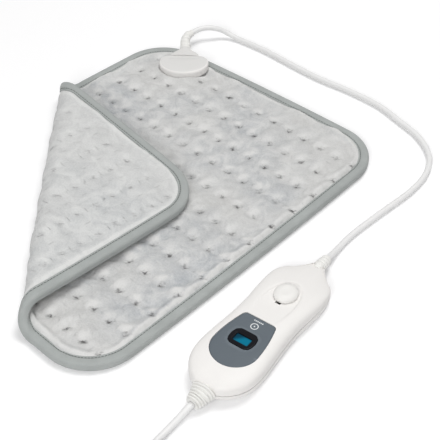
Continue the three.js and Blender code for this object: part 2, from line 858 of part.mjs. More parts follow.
// Edge binding: tape folded round the seam, stitched along its inner edge
function bindingGeometry() {
  const outer = bindingHeight / 2;
  const inner = bindingSeam;
  const section = [
    [bindingWidth, -inner], [bindingWidth, -outer], [bindingTape, -outer], [0, -inner + bindingTape / 2],
    [0, inner - bindingTape / 2], [bindingTape, outer], [bindingWidth, outer], [bindingWidth, inner],
    [bindingTape, inner], [bindingTape, -inner],
  ];
  const count = section.length;
  const points = [];
  const triangles = [];
  stations.forEach(({ point, outward }, i) => {
    for (const [inset, depth] of section) {
      points.push(folded(point.x - outward.x * inset, point.y - outward.y * inset, depth));
    }
    const next = (i + 1) % stations.length;
    for (let k = 0; k < count; k += 1) {
      const after = (k + 1) % count;
      const [a, b] = [i * count + k, i * count + after];
      const [c, d] = [next * count + after, next * count + k];
      const goesOut = section[k][0] > section[after][0];
      triangles.push(...(goesOut ? [[a, b, d], [b, c, d]] : [[a, b, c], [a, c, d]]));
    }
  });
  return closedGeometry(points, triangles);
}
addPiece('edge_binding', bindingGeometry(), tape);

// Socket: a low oval housing on a base whose spigot passes through the top cover
const socket = new THREE.Group();
socket.position.set(socketCentre.x, socketCentre.y, 0);
socket.rotation.z = socketTurn;
part.add(socket);

function socketOutline(inset) {
  const [across, front, back] = [socketHalfWidth - inset, socketFront - inset, socketBack];
  const [shoulder, rise] = [across * socketShoulderShare, back * socketShoulderRiseShare];
  const shape = new THREE.Shape();
  shape.moveTo(socketBackShare * across, back);
  shape.bezierCurveTo(shoulder, rise, across, back / 2, across, 0);
  shape.absellipse(0, 0, across, front, 0, -halfTurn, true);
  shape.bezierCurveTo(-across, back / 2, -shoulder, rise, -socketBackShare * across, back);
  return shape.getPoints(socketSteps);
}

const baseHeight = padThickness - dotDepth + gap;
const housingHeight = baseHeight + baseThickness + gap;
const housingTop = baseHeight + socketHeight;
const spigotFoot = padHalf - topInnerDepth - gap - backingRingThickness;
const basePlate = stack(socketOutline, [[baseHeight, baseInset], [baseHeight + baseThickness, baseInset]]);
const spigot = post(spigotRadius, spigotFoot, baseHeight + baseThickness / 2, 0, 0);
addPiece('socket_base', join(basePlate, spigot), white, socket);

const ringOuter = post(backingRingRadius, spigotFoot, spigotFoot + backingRingThickness, 0, 0);
const ringBore = post(spigotRadius + gap, spigotFoot - overrun, spigotFoot + overrun, 0, 0);
addPiece('socket_backing_ring', cut(ringOuter, ringBore), steel, socket);

const pocketLength = tongueLength + pocketClearance;
const pocket = box(
  2 * (tongueHalfWidth + pocketClearance),
  pocketLength + overrun,
  tongueHeight + 2 * pocketClearance,
  0,
  socketBack - pocketLength / 2 + overrun / 2,
  plugMiddle,
);
function contactBar(radius, from, to, number) {
  const x = (number - (contactCount - 1) / 2) * contactPitch;
  const bar = new THREE.CylinderGeometry(radius, radius, to - from, contactSides);
  return bar.translate(x, (from + to) / 2, plugMiddle);
}
const contactNumbers = Array.from({ length: contactCount }, (_, i) => i);
const pocketWall = socketBack - pocketLength;
const housing = stack(socketOutline, [
  [housingHeight, socketBevel / 3],
  [housingHeight + socketBevel / 4, 0],
  [housingTop - socketBevel, 0],
  [housingTop - socketBevel / 3, socketBevel / 3],
  [housingTop, socketBevel],
]);
const contactSeats = contactNumbers.map((number) => (
  contactBar(contactRadius + gap, pocketWall - contactSeat - gap, pocketWall + overrun, number)
));
addPiece('socket_housing', cut(housing, pocket, ...contactSeats), white, socket);
const contactTip = socketBack - overrun;
for (const number of contactNumbers) {
  const pin = contactBar(contactRadius, pocketWall - contactSeat, contactTip, number);
  addPiece(`socket_contact_${number + 1}`, pin, brass, socket);
}

// Plug: two half shells with a tongue, and a ribbed sleeve that turns towards the cord
const plugFront = socketBack + gap;
// Sections of the plug's body: share of its length, half-width and half-height shares, squareness
const plugSectionShares = [
  [0, 1, 0.94, 3.4], [0.02, 1, 1, 3.4], [0.24, 0.96, 1, 3.2], [0.44, 0.83, 1, 2.9],
  [0.62, 0.63, 1.02, 2.6], [0.8, 0.46, 1.08, 2.3], [1, 0.381, 1.13, 2],
];
const forward = new THREE.Vector3(0, 1, 0);
const plugBody = skin(plugSectionShares.map(([along, wide, high, power]) => ovalRing(
  new THREE.Vector3(0, plugFront + along * plugBodyLength, plugMiddle),
  forward,
  plugShoulder * wide,
  (plugBodyHeight / 2) * high,
  plugSides,
  power,
)));
const tongue = box(
  2 * tongueHalfWidth,
  tongueLength + overrun,
  tongueHeight,
  0,
  plugFront - tongueLength / 2 + overrun / 2,
  plugMiddle,
);
const contactBores = contactNumbers.map((number) => (
  contactBar(contactRadius + pocketClearance, pocketWall - overrun, contactTip + overrun, number)
));
const wholePlug = cut(join(plugBody, tongue), ...contactBores);
const halfReach = 2 * (plugShoulder + plugBodyLength);
const upperHalf = box(halfReach, halfReach, halfReach, 0, 0, plugMiddle + gap / 2 + halfReach / 2);
const lowerHalf = box(halfReach, halfReach, halfReach, 0, 0, plugMiddle - gap / 2 - halfReach / 2);
addPiece('plug_upper_shell', common(wholePlug, upperHalf), white, socket);
addPiece('plug_lower_shell', common(wholePlug, lowerHalf), white, socket);

// Routes of the free cords: the pad's cord leaves the plug on points set out from the socket's
// centre, and then both cords run on points in the part's frame
const plugCordRoute = [
  [-37.2, 50.1, 15.4], [-37.1, 55.7, 15.5], [-35.4, 63.9, 15.6], [-31.2, 70.9, 15.2], [-26.4, 76.9, 13.6],
  [-22, 82.7, 10.6], [-15.6, 87.3, 6.6], [-5.4, 90.1, 3.8], [6.4, 91.9, cordLift], [36.4, 94.4, cordLift],
];
const padCordRoute = [
  ...plugCordRoute.map(([x, y, z]) => [socketCentre.x + x, socketCentre.y + y, z]),
  [-24.5, 260.4, cordLift], [12.1, 261.2, cordLift], [46.1, 265.5, cordLift],
  [88.7, 266.4, cordLift], [121.5, 259.4, cordLift], [144.8, 253.8, cordLift],
  [164.8, 243.5, cordLift], [179.9, 229.3, cordLift], [190.9, 205.7, cordLift], [194.6, 176.2, cordLift],
  [193.7, 147.2, cordLift], [192.6, 120.8, cordLift], [192.3, 88.3, cordLift], [195, 66, 4.2],
  [198.2, 51.6, 7.4], [199.2, 45.4, 8.6],
];
const mainsCordRoute = [
  [226, -154.2, 8], [226.4, -160.5, 7.1], [226.9, -170, 5.4], [227.6, -182, 3.9], [228.6, -194, 3.4],
  [229.9, -206, 3.3], [231.7, -220, 3.6], [233.25, -236, 4.3], [233.25, -243.7, 4.3],
];

const plugAxis = new THREE.Vector3(-Math.sin(socketTurn), Math.cos(socketTurn), 0);
const plugNeckPlace = new THREE.Vector3(socketCentre.x, socketCentre.y, plugMiddle)
  .addScaledVector(plugAxis, plugFront + plugBodyLength + gap);
const padCordStart = new THREE.Vector3(...padCordRoute[0]);
const padCordNext = new THREE.Vector3(...padCordRoute[1]);
const padCordHeading = padCordNext.clone().sub(padCordStart).normalize();
const plugReliefEnd = padCordStart.clone().addScaledVector(padCordHeading, -gap);
const plugReliefRoute = [
  plugNeckPlace,
  plugNeckPlace.clone().addScaledVector(plugAxis, plugNeck),
  new THREE.Vector3(socketCentre.x + plugReliefBend.x, socketCentre.y + plugReliefBend.y, plugMiddle),
  plugReliefEnd.clone().addScaledVector(padCordHeading, -cordDiameter),
  plugReliefEnd,
];
addPiece('plug_strain_relief', ribbedSleeve(
  plugReliefRoute,
  plugReliefRibs,
  { halfWidth: plugNeck, halfHeight: plugNeck - reliefGroove },
  plugReliefEndWidth,
  reliefSides,
), whiteRubber);
addPiece('pad_cord', cordTube(padCordRoute), whiteRubber);

// Hand control: housing shells
const handset = new THREE.Group();
handset.position.set(handsetCentre.x, handsetCentre.y, 0);
handset.rotation.z = handsetTurn;
part.add(handset);

function handsetPlan() {
  const side = handsetOutlineShares.map(([along, across]) => (
    new THREE.Vector2(across * handsetWidth, along * handsetLength)
  ));
  const right = new THREE.SplineCurve(side).getSpacedPoints(handsetSteps);
  const left = right.map(({ x, y }) => new THREE.Vector2(-x, y)).reverse();
  return [...right, ...left];
}
const handsetPoints = handsetPlan();

// The housing's outline, drawn in along its own normals
function handsetOutline(inset) {
  const count = handsetPoints.length;
  return handsetPoints.map((point, i) => {
    const before = handsetPoints[(i + count - 1) % count];
    const after = handsetPoints[(i + 1) % count];
    const inward = new THREE.Vector2(before.y - after.y, after.x - before.x).normalize();
    return point.clone().addScaledVector(inward, -inset);
  });
}

function crownAt(y) {
  const past = Math.max(y - plateTop, 0);
  return handsetHeight - handsetCrownDrop * (past / (handsetLength / 2 - plateTop)) ** 2;
}

// Shares of the outline at which the crown's rings lie
const crownRingShares = [1, 0.985, 0.94, 0.85, 0.68, 0.4];
// The same for the belly, whose flat begins at the last one
const bellyRingShares = [1, 0.98, 0.92, 0.83];

function crownSkin(inset) {
  const outline = handsetOutline(inset);
  const foot = outline.map(({ x, y }) => new THREE.Vector3(x, y, partingHeight - overrun));
  const rings = crownRingShares.map((share) => outline.map(({ x, y }) => {
    const top = crownAt(y * share) - inset;
    const rise = (1 - share ** domePower) ** (1 / domePower);
    return new THREE.Vector3(x * share, y * share, partingHeight + (top - partingHeight) * rise);
  }));
  return skin([foot, ...rings]);
}

function bellySkin(inset) {
  const outline = handsetOutline(inset);
  const drop = partingHeight - inset;
  const full = (1 - bellyRingShares[bellyRingShares.length - 1] ** bellyPower) ** (1 / bellyPower);
  const brim = outline.map(({ x, y }) => new THREE.Vector3(x, y, partingHeight + overrun));
  const rings = bellyRingShares.map((share) => outline.map(({ x, y }) => {
    const fall = (1 - share ** bellyPower) ** (1 / bellyPower) / full;
    return new THREE.Vector3(x * share, y * share, partingHeight - drop * fall);
  }));
  return skin([brim, ...rings]);
}

const handsetReach = handsetLength + handsetWidth;
function slab(low, high) {
  return box(handsetReach, handsetReach, high - low, 0, 0, (low + high) / 2);
}

// Strain reliefs of the hand control: a smooth root gripped between the shells, then ribs
const upperEnd = handsetLength / 2;
const alongHandset = new THREE.Vector3(0, 1, 0);
function reliefRootSkin(y, direction, halfWidth, halfHeight, extra, length) {
  const centre = new THREE.Vector3(0, y, reliefMiddle);
  return skin([0, length].map((back) => ovalRing(
    centre.clone().addScaledVector(direction, -back),
    direction,
    halfWidth + extra,
    halfHeight + extra,
    reliefRootSides,
  )));
}
const upperRootRadius = upperReliefWidth * reliefRootShare;
const lowerRootWidth = lowerReliefWidth * reliefRootShare;
const lowerRootHeight = lowerReliefHeight * reliefRootShare;
const awayFromPad = alongHandset.clone().negate();
const upperRootSlot = reliefRootSkin(
  upperEnd + overrun, alongHandset, upperRootRadius, upperRootRadius, gap, reliefRoot + 2 * overrun,
);
const lowerRootSlot = reliefRootSkin(
  -upperEnd - overrun, awayFromPad, lowerRootWidth, lowerRootHeight, gap, reliefRoot + 2 * overrun,
);

function bossPlaces() {
  return [upperBoss, lowerBoss].flatMap(({ x, y }) => [new THREE.Vector2(x, y), new THREE.Vector2(-x, y)]);
}

// Slider's own frame: its floor slopes with the crown, +Y towards the pad's cord
const slider = new THREE.Group();
slider.position.set(0, sliderPlace, sliderFloor);
slider.rotation.x = -Math.atan(sliderSlope);
handset.add(slider);
slider.updateMatrix();
function inSliderFrame(geometry) {
  return geometry.applyMatrix4(slider.matrix);
}

function recessOutline() {
  const shape = new THREE.Shape();
  const flank = (recessBottom + recessWidest) / 2;
  shape.moveTo(recessBottomHalfWidth, recessBottom);
  shape.quadraticCurveTo(recessHalfWidth, flank, recessHalfWidth, recessWidest);
  shape.absellipse(0, recessWidest, recessHalfWidth, recessTop - recessWidest, 0, halfTurn, false);
  shape.quadraticCurveTo(-recessHalfWidth, flank, -recessBottomHalfWidth, recessBottom);
  return shape.getPoints(recessSteps);
}

function plateOutline(inset) {
  const [topHalf, half] = [plateTopWidth / 2 - inset, plateWidth / 2 - inset];
  const [top, bottom] = [plateTop - inset, plateBottom + inset];
  const [corner, flank] = [topHalf + plateCorner / 4, (top + plateWidest) / 2 - plateCorner];
  const shape = new THREE.Shape();
  shape.moveTo(0, top);
  shape.lineTo(topHalf - plateCorner, top);
  shape.quadraticCurveTo(topHalf, top, corner, top - plateCorner);
  shape.quadraticCurveTo(half, flank, half, plateWidest);
  shape.absellipse(0, plateWidest, half, plateWidest - bottom, 0, halfTurn, true);
  shape.quadraticCurveTo(-half, flank, -corner, top - plateCorner);
  shape.quadraticCurveTo(-topHalf, top, -topHalf + plateCorner, top);
  return shape.getPoints(plateSteps);
}

function lensOutline(inset) {
  return lensOutlineShares.map(([across, along]) => new THREE.Vector2(
    across * (lensWidth - 2 * inset),
    lensCentre + along * (lensLength - 2 * inset),
  ));
}

const slotLength = stemLength + sliderTowardPad + sliderTowardDisplay + slotEndMargin;
const slotWidth = stemWidth + 2 * seamGap;
const slotShift = (sliderTowardPad - sliderTowardDisplay) / 2 + slotEndMargin / 3;
const recessCutter = inSliderFrame(stack(() => recessOutline(), [[0, 0], [handsetHeight, 0]]));
const slotCutter = inSliderFrame(
  box(slotWidth, slotLength, handsetHeight, 0, slotShift, overrun - handsetHeight / 2),
);
const channelLength = carriageLength + sliderTowardPad + sliderTowardDisplay + 2 * overrun;
const channelCutter = inSliderFrame(box(
  carriageWidth + 2 * seamGap,
  channelLength,
  handsetHeight,
  0,
  (sliderTowardPad - sliderTowardDisplay) / 2,
  -slideTrackThickness - handsetHeight / 2,
));
const plateCutter = stack(plateOutline, [[plateSeatHeight, -gap], [handsetHeight + overrun, -gap]]);
const lensCutter = stack(lensOutline, [[partingHeight, -gap], [handsetHeight, -gap]]);
const plateFoot = plateSeatHeight + gap;
const plateFace = plateFoot + plateThickness;
const lensTop = plateFace + lensStand;
const panelTop = lensTop - lensThickness - gap;
const panelCutter = box(
  panelWidth + 2 * gap,
  panelLength + 2 * gap,
  handsetHeight,
  0,
  lensCentre,
  panelTop + gap - handsetHeight / 2,
);

const topInner = common(crownSkin(shellWall), slab(-overrun, ceilingHeight));
const topBosses = bossPlaces().map(({ x, y }) => (
  post(bossRadius, partingHeight + gap / 2, ceilingHeight + overrun, x, y)
));
const topPilots = bossPlaces().map(({ x, y }) => (
  post(screwRadius + gap, partingHeight - overrun, screwRecess + screwLength + gap, x, y)
));
const hollowTop = cut(crownSkin(0), topInner, slab(-handsetHeight, partingHeight + gap / 2));
const bossedTop = join(hollowTop, ...topBosses.map((boss) => common(boss, crownSkin(shellWall / 2))));
addPiece('handset_top_shell', cut(
  bossedTop,
  recessCutter,
  slotCutter,
  channelCutter,
  plateCutter,
  lensCutter,
  panelCutter,
  upperRootSlot,
  lowerRootSlot,
  ...topPilots,
), white, handset);

// Bottom shell: a tray with posts for the screws and pegs under the board
const trayPosts = bossPlaces().map(({ x, y }) => (
  post(bossRadius, shellWall / 2, partingHeight - gap / 2, x, y)
));
const pegX = boardWidth / 2 - pegFromSide;
const pegRows = [boardTop - pegFromTop, boardBottom + pegFromBottom];
const pegPlaces = pegRows.flatMap((y) => [[pegX, y], [-pegX, y]]);
const trayPegs = pegPlaces.map(([x, y]) => post(pegRadius, shellWall / 2, boardSeatHeight, x, y));
const screwHoles = bossPlaces().flatMap(({ x, y }) => [
  post(screwRadius + gap, -overrun, handsetHeight, x, y),
  post(screwHeadRadius + gap, -overrun, screwRecess, x, y),
]);
const hollowBottom = cut(bellySkin(0), bellySkin(shellWall), slab(partingHeight - gap / 2, handsetHeight));
addPiece('handset_bottom_shell', cut(
  join(hollowBottom, ...trayPosts, ...trayPegs),
  upperRootSlot,
  lowerRootSlot,
  ...screwHoles,
), white, handset);

// Screws from below, each with a countersunk recess in its head
bossPlaces().forEach(({ x, y }, i) => {
  const shank = post(screwRadius, screwRecess - gap - overrun, screwRecess + screwLength, x, y);
  const head = post(screwHeadRadius, screwRecess - gap - screwHeadHeight, screwRecess - gap, x, y);
  const drive = post(screwRadius, 0, screwRecess - gap - screwHeadHeight / 2, x, y, screwDriveSides);
  addPiece(`handset_screw_${i + 1}`, cut(join(shank, head), drive), steel, handset);
});

// Display plate, lens and panel
const plateBody = stack(plateOutline, [
  [plateFoot, 0], [plateFace - plateThickness / 4, 0], [plateFace, plateThickness / 4],
]);
addPiece('display_plate', cut(plateBody, lensCutter), slate, handset);
addPiece('display_lens', stack(lensOutline, [
  [lensTop - lensThickness, 0], [plateFace, 0], [lensTop, lensStand],
]), lensBlack, handset);
addPiece('lcd_panel', box(
  panelWidth, panelLength, panelThickness, 0, lensCentre, panelTop - panelThickness / 2,
), litTeal, handset);

// Thumb slider: an oval dome on a stem, joined to a carriage that runs under the shell
function knobOutline(inset) {
  return Array.from({ length: knobSides }, (_, i) => {
    const angle = (fullTurn * i) / knobSides;
    return new THREE.Vector2(
      Math.cos(angle) * (knobWidth / 2 - inset),
      Math.sin(angle) * (knobLength / 2 - inset),
    );
  });
}
const knob = stack(knobOutline, [
  [seamGap, 0],
  ...knobLevelShares.map(([rise, inset]) => [knobHeight * rise, knobWidth * inset]),
]);
const stemHead = seamGap + overrun;
const stem = box(stemWidth, stemLength, stemHead - carriageFoot, 0, 0, (stemHead + carriageFoot) / 2);
addPiece('thumb_slider', join(knob, stem), white, slider);
const carriageMiddle = carriageTop - carriageThickness / 2;
const carriageBody = box(carriageWidth, carriageLength, carriageThickness, 0, 0, carriageMiddle);
const stemSocket = box(
  stemWidth + 2 * gap, stemLength + 2 * gap, 2 * carriageThickness + overrun, 0, 0, carriageMiddle,
);
const fingers = [-1, 1].map((side) => box(
  fingerWidth,
  fingerWidth,
  fingerReach + overrun,
  0,
  side * (stemLength / 2 + fingerWidth / 2 + gap),
  carriageFoot - fingerReach / 2 + overrun / 2,
));
addPiece('slider_carriage', join(cut(carriageBody, stemSocket), ...fingers), darkPlastic, slider);

// Circuit board on the tray's pegs, with the slide switch under the carriage
const boardMiddle = (boardTop + boardBottom) / 2;
addPiece('circuit_board', box(
  boardWidth, boardTop - boardBottom, boardThickness, 0, boardMiddle, boardBase + boardThickness / 2,
), boardGreen, handset);
const switchMiddle = sliderPlace + (sliderTowardPad - sliderTowardDisplay) / 2;
const switchBlock = box(
  switchWidth, switchLength + 4 * fingerWidth, switchHeight, 0, switchMiddle, switchTop - switchHeight / 2,
);
const switchGroove = box(
  switchGrooveWidth,
  switchLength + 2 * fingerWidth,
  switchGrooveDepth + overrun,
  0,
  switchMiddle,
  switchTop - switchGrooveDepth / 2 + overrun / 2,
);
addPiece('slide_switch', cut(switchBlock, switchGroove), darkPlastic, handset);

// Strain reliefs of the hand control
function handsetRelief(route, ribs, root, tip, rootSkin) {
  return join(ribbedSleeve(route, ribs, root, tip, reliefSides), rootSkin);
}
const upperReliefRoute = [
  new THREE.Vector3(0, upperEnd + gap, reliefMiddle),
  new THREE.Vector3(0, upperEnd + gap + upperReliefLength / 2, reliefMiddle - gap),
];
handset.updateMatrix();
const toHandset = handset.matrix.clone().invert();
const padCordEnd = new THREE.Vector3(...padCordRoute[padCordRoute.length - 1]);
const padCordBeforeEnd = new THREE.Vector3(...padCordRoute[padCordRoute.length - 2]);
const padCordArrival = padCordEnd.clone().sub(padCordBeforeEnd).normalize();
upperReliefRoute.push(padCordEnd.clone().addScaledVector(padCordArrival, gap).applyMatrix4(toHandset));
const upperRoot = reliefRootSkin(
  upperEnd + gap + overrun, alongHandset, upperRootRadius, upperRootRadius, 0, reliefRoot + overrun,
);
addPiece('handset_upper_relief', handsetRelief(
  upperReliefRoute,
  upperReliefRibs,
  { halfWidth: upperReliefWidth, halfHeight: upperReliefWidth },
  upperReliefEndWidth,
  upperRoot,
), whiteRubber, handset);

const mainsCordStart = new THREE.Vector3(...mainsCordRoute[0]);
const mainsCordHeading = new THREE.Vector3(...mainsCordRoute[1]).sub(mainsCordStart).normalize();
const lowerReliefEnd = mainsCordStart.clone().addScaledVector(mainsCordHeading, -gap);
const lowerReliefRoute = [
  new THREE.Vector3(0, -upperEnd - gap, reliefMiddle),
  new THREE.Vector3(0, -upperEnd - gap - lowerReliefWidth / 2, reliefMiddle - lowerReliefDrop),
  lowerReliefEnd.clone().addScaledVector(mainsCordHeading, -cordDiameter).applyMatrix4(toHandset),
  lowerReliefEnd.clone().applyMatrix4(toHandset),
];
const lowerRoot = reliefRootSkin(
  -upperEnd - gap - overrun, awayFromPad, lowerRootWidth, lowerRootHeight, 0, reliefRoot + overrun,
);
addPiece('handset_lower_relief', handsetRelief(
  lowerReliefRoute,
  lowerReliefRibs,
  { halfWidth: lowerReliefWidth, halfHeight: lowerReliefHeight },
  lowerReliefEndWidth,
  lowerRoot,
), whiteRubber, handset);
addPiece('mains_cord', cordTube(mainsCordRoute), whiteRubber);

// Mains coil: one tube wound in four layers, in and out, with a climb at each reversal
const turnsPerLayer = coilTurns / coilLayers;
const coilWidth = turnsPerLayer * coilPitch;
const coilOuterRadius = coilMeanRadius + coilWidth / 2;
const coilFloor = coilLift + cordDiameter / 2;

function coilPoint(turn) {
  const place = turn / turnsPerLayer;
  const layerNumber = Math.min(Math.floor(place), coilLayers - 1);
  const within = place - layerNumber;
  const inward = layerNumber % 2 === 0 ? within : 1 - within;
  const radius = coilOuterRadius - inward * coilWidth;
  const nearest = THREE.MathUtils.clamp(Math.round(place), 1, coilLayers - 1);
  const sinceClimb = THREE.MathUtils.clamp(turn - nearest * turnsPerLayer + 1 / 4, 0, 1 / 2);
  const level = nearest - 1 + THREE.MathUtils.smoothstep(sinceClimb, 0, 1 / 2);
  const angle = coilStartAngle + fullTurn * turn;
  return new THREE.Vector3(
    coilCentre.x + radius * Math.cos(angle),
    coilCentre.y + radius * Math.sin(angle),
    coilFloor + level * coilPitch,
  );
}

const coilSteps = Math.round(coilTurns * coilStepsPerTurn);
const windings = Array.from({ length: coilSteps + 1 }, (_, i) => (
  coilPoint((coilTurns * i) / coilSteps)
));
const coilEntry = windings[0].clone().add(new THREE.Vector3(0, cordDiameter, 0));
const coilLeave = windings[coilSteps].clone().add(new THREE.Vector3(cordDiameter, 0, 0));
const coilStations = [coilEntry, ...windings, coilLeave];

// The least gap from the tube to itself, between stretches more than half a turn apart
function leastSelfGap(points) {
  let least = Infinity;
  const nearest = new THREE.Vector3();
  for (let i = 0; i < points.length; i += 1) {
    for (let j = i + coilStepsPerTurn / 2; j + 1 < points.length; j += 1) {
      new THREE.Line3(points[j], points[j + 1]).closestPointToPoint(points[i], true, nearest);
      least = Math.min(least, nearest.distanceTo(points[i]) - cordDiameter);
    }
  }
  return least;
}
console.log(`coil: least gap to itself ${leastSelfGap(coilStations).toFixed(2)} mm`);
addPiece('mains_coil', tube(coilStations, cordDiameter, coilSides), whiteRubber);

// Tie: a flat band round the coil's bundle
const tie = new THREE.Group();
tie.position.set(coilCentre.x, coilCentre.y, 0);
tie.rotation.z = tieAngle;
part.add(tie);
const bundleInner = coilOuterRadius - coilWidth - cordDiameter / 2 - tieClearance;
const bundleOuter = coilOuterRadius + cordDiameter / 2 + tieClearance;
const bundleLow = coilLift - gap;
const bundleHigh = coilFloor + (coilLayers - 1) * coilPitch + cordDiameter / 2 + tieClearance;
const tieMiddle = new THREE.Vector3((bundleInner + bundleOuter) / 2, 0, (bundleLow + bundleHigh) / 2);
const sideways = new THREE.Vector3(0, 1, 0);
function tieSkin(extra, halfLength) {
  return skin([-halfLength, halfLength].map((shift) => ovalRing(
    tieMiddle.clone().addScaledVector(sideways, shift),
    sideways,
    (bundleOuter - bundleInner) / 2 + extra,
    (bundleHigh - bundleLow) / 2 + extra,
    tieSides,
    tieSquareness,
  )));
}
addPiece('coil_tie', cut(tieSkin(tieThickness, tieWidth / 2), tieSkin(0, tieWidth)), darkPlastic, tie);

// Mains plug: flat two-pin body with a ribbed sleeve, lying beside the coil
const tailStart = coilLeave.clone().add(new THREE.Vector3(gap, 0, 0));
const mainsPlugMiddle = mainsPlugHeight / 2 + gap;
const reliefTip = tailStart.clone().setX(tailStart.x + mainsPlugGap - gap).setZ(mainsPlugMiddle);
const tailRoute = [
  tailStart.toArray(),
  [tailStart.x + cordDiameter, tailStart.y, tailStart.z],
  [tailStart.x + mainsPlugGap * tailLeaveShare, tailStart.y, tailStart.z * tailDropShare],
  [tailStart.x + mainsPlugGap * tailLandShare, tailStart.y, mainsPlugMiddle + cordDiameter / 2],
  [reliefTip.x - cordDiameter, tailStart.y, mainsPlugMiddle],
  [reliefTip.x - gap, tailStart.y, mainsPlugMiddle],
];
addPiece('plug_tail_cord', cordTube(tailRoute), whiteRubber);

const mainsPlug = new THREE.Group();
mainsPlug.position.set(reliefTip.x + mainsReliefLength, tailStart.y, mainsPlugMiddle);
mainsPlug.rotation.z = -halfTurn / 2;
part.add(mainsPlug);
const towardCoil = new THREE.Vector3(0, -1, 0);
addPiece('mains_plug_relief', ribbedSleeve(
  [
    new THREE.Vector3(0, -gap, 0),
    new THREE.Vector3(0, -mainsReliefLength / 2, 0),
    new THREE.Vector3(0, -mainsReliefLength, 0),
  ],
  mainsReliefRibs,
  { halfWidth: mainsReliefWidth, halfHeight: mainsReliefWidth },
  mainsReliefEndWidth,
  mainsReliefSides,
), whiteRubber, mainsPlug);
// Sections of the plug's body: share of its length, shares of its half sizes, squareness
const mainsSectionShares = [
  [0, 0.5, 0.86, 2.4], [0.12, 0.68, 0.96, 2.8], [0.34, 0.84, 1, 3.4], [0.6, 0.95, 1, 4],
  [0.95, 1, 1, 4.5], [1, 0.97, 0.95, 4.5],
];
const mainsBody = skin(mainsSectionShares.map(([along, wide, high, power]) => ovalRing(
  new THREE.Vector3(0, along * mainsPlugLength, 0),
  towardCoil,
  (mainsPlugWidth / 2) * wide,
  (mainsPlugHeight / 2) * high,
  mainsPlugSides,
  power,
)));
function mainsPin(side, radius, extra) {
  const length = mainsPinLength + mainsPinSeat + extra;
  const pin = new THREE.CylinderGeometry(radius, radius, length, mainsPinSides);
  const seat = mainsPlugLength - mainsPinSeat - extra;
  return pin.translate((side * mainsPinPitch) / 2, seat + length / 2, 0);
}
const pinSeats = [-1, 1].map((side) => mainsPin(side, mainsPinRadius + gap, gap));
addPiece('mains_plug_body', cut(mainsBody, ...pinSeats), white, mainsPlug);
addPiece('mains_plug_pin_1', mainsPin(-1, mainsPinRadius, 0), brass, mainsPlug);
addPiece('mains_plug_pin_2', mainsPin(1, mainsPinRadius, 0), brass, mainsPlug);

export default part;
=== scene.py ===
# Quilted heating pad with a folded corner, a plug-in connector and a wired hand control.
# Sizes in this file are millimetres; the meshes are written in metres in the part's own frame.
import math
import bmesh
import bpy
import numpy as np
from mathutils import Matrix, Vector
from mathutils.geometry import delaunay_2d_cdt


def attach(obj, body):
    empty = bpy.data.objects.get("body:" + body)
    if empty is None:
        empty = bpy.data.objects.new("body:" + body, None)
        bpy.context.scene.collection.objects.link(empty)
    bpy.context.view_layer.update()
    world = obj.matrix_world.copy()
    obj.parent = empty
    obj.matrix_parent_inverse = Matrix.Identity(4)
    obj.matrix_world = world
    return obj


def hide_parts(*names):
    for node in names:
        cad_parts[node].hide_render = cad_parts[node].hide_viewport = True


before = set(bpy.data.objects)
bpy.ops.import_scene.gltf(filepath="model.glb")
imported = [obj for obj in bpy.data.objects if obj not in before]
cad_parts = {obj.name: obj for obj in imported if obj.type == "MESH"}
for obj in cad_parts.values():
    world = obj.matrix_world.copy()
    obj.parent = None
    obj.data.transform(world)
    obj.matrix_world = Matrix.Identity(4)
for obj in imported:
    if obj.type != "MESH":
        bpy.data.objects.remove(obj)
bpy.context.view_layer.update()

# Camera: a long lens above the near corner of the pad, looking down across it.
# Its place and lens are the photograph's own.
camera_data = bpy.data.cameras.new("camera")
camera_data.sensor_width = 36
camera_data.lens = 92.08
camera = bpy.data.objects.new("camera", camera_data)
camera.location = (0.6278, -0.5440, 0.7158)
camera.rotation_euler = (math.radians(90 - 42.39), 0, math.radians(43.60))
bpy.context.scene.collection.objects.link(camera)
bpy.context.scene.camera = camera


# White cord sheath: smooth soft vinyl, extruded over the wires, a little uneven in tone.
# The same sheath runs from the plug to the hand control and on to the mains plug.
def feed(tree, node, inputs):
    """Gives a node's inputs their plain values, or the outputs that they take."""
    for label, value in inputs.items():
        if isinstance(value, bpy.types.NodeSocket):
            tree.links.new(value, node.inputs[label])
        else:
            node.inputs[label].default_value = value


def add_node(tree, kind, output, inputs=(), **settings):
    """Adds a shader node and gives back one of its outputs."""
    node = tree.nodes.new("ShaderNode" + kind)
    for label, value in settings.items():
        setattr(node, label, value)
    feed(tree, node, dict(inputs))
    return node.outputs[output]


def reckon(tree, operation, *values, clamp=False):
    """Arithmetic on up to three values."""
    return add_node(tree, "Math", "Value", dict(enumerate(values)), operation=operation, use_clamp=clamp)


def noise(tree, place, scale, detail, roughness=0.5, distortion=0):
    return add_node(tree, "TexNoise", "Fac", {"Vector": place, "Scale": scale, "Detail": detail,
                                              "Roughness": roughness, "Distortion": distortion})


def ranged(tree, value, low, high, top=1, **settings):
    """A value stretched so that low gives 0 and high gives the top."""
    levels = {"Value": value, "From Min": low, "From Max": high, "To Max": top}
    return add_node(tree, "MapRange", "Result", levels, **settings)


def blended(tree, share, first, second, blend="MIX"):
    """Two colours mixed by a share."""
    return add_node(tree, "Mix", "Result", {"Factor": share, "A": first, "B": second}, data_type="RGBA",
                    blend_type=blend)


def bumped(tree, height, depth):
    """The normal of a surface with a relief of some millimetres."""
    return add_node(tree, "Bump", "Normal", {"Height": height, "Distance": depth / 1000})


def new_group(name, inputs, outputs):
    """An empty node group with the outputs of its input node and its output node."""
    group = bpy.data.node_groups.new(name, "ShaderNodeTree")
    for label, kind, value in inputs:
        socket = group.interface.new_socket(label, in_out="INPUT", socket_type="NodeSocket" + kind)
        socket.default_value = value
    for label, kind in outputs:
        group.interface.new_socket(label, in_out="OUTPUT", socket_type="NodeSocket" + kind)
    return group, group.nodes.new("NodeGroupInput").outputs, group.nodes.new("NodeGroupOutput")


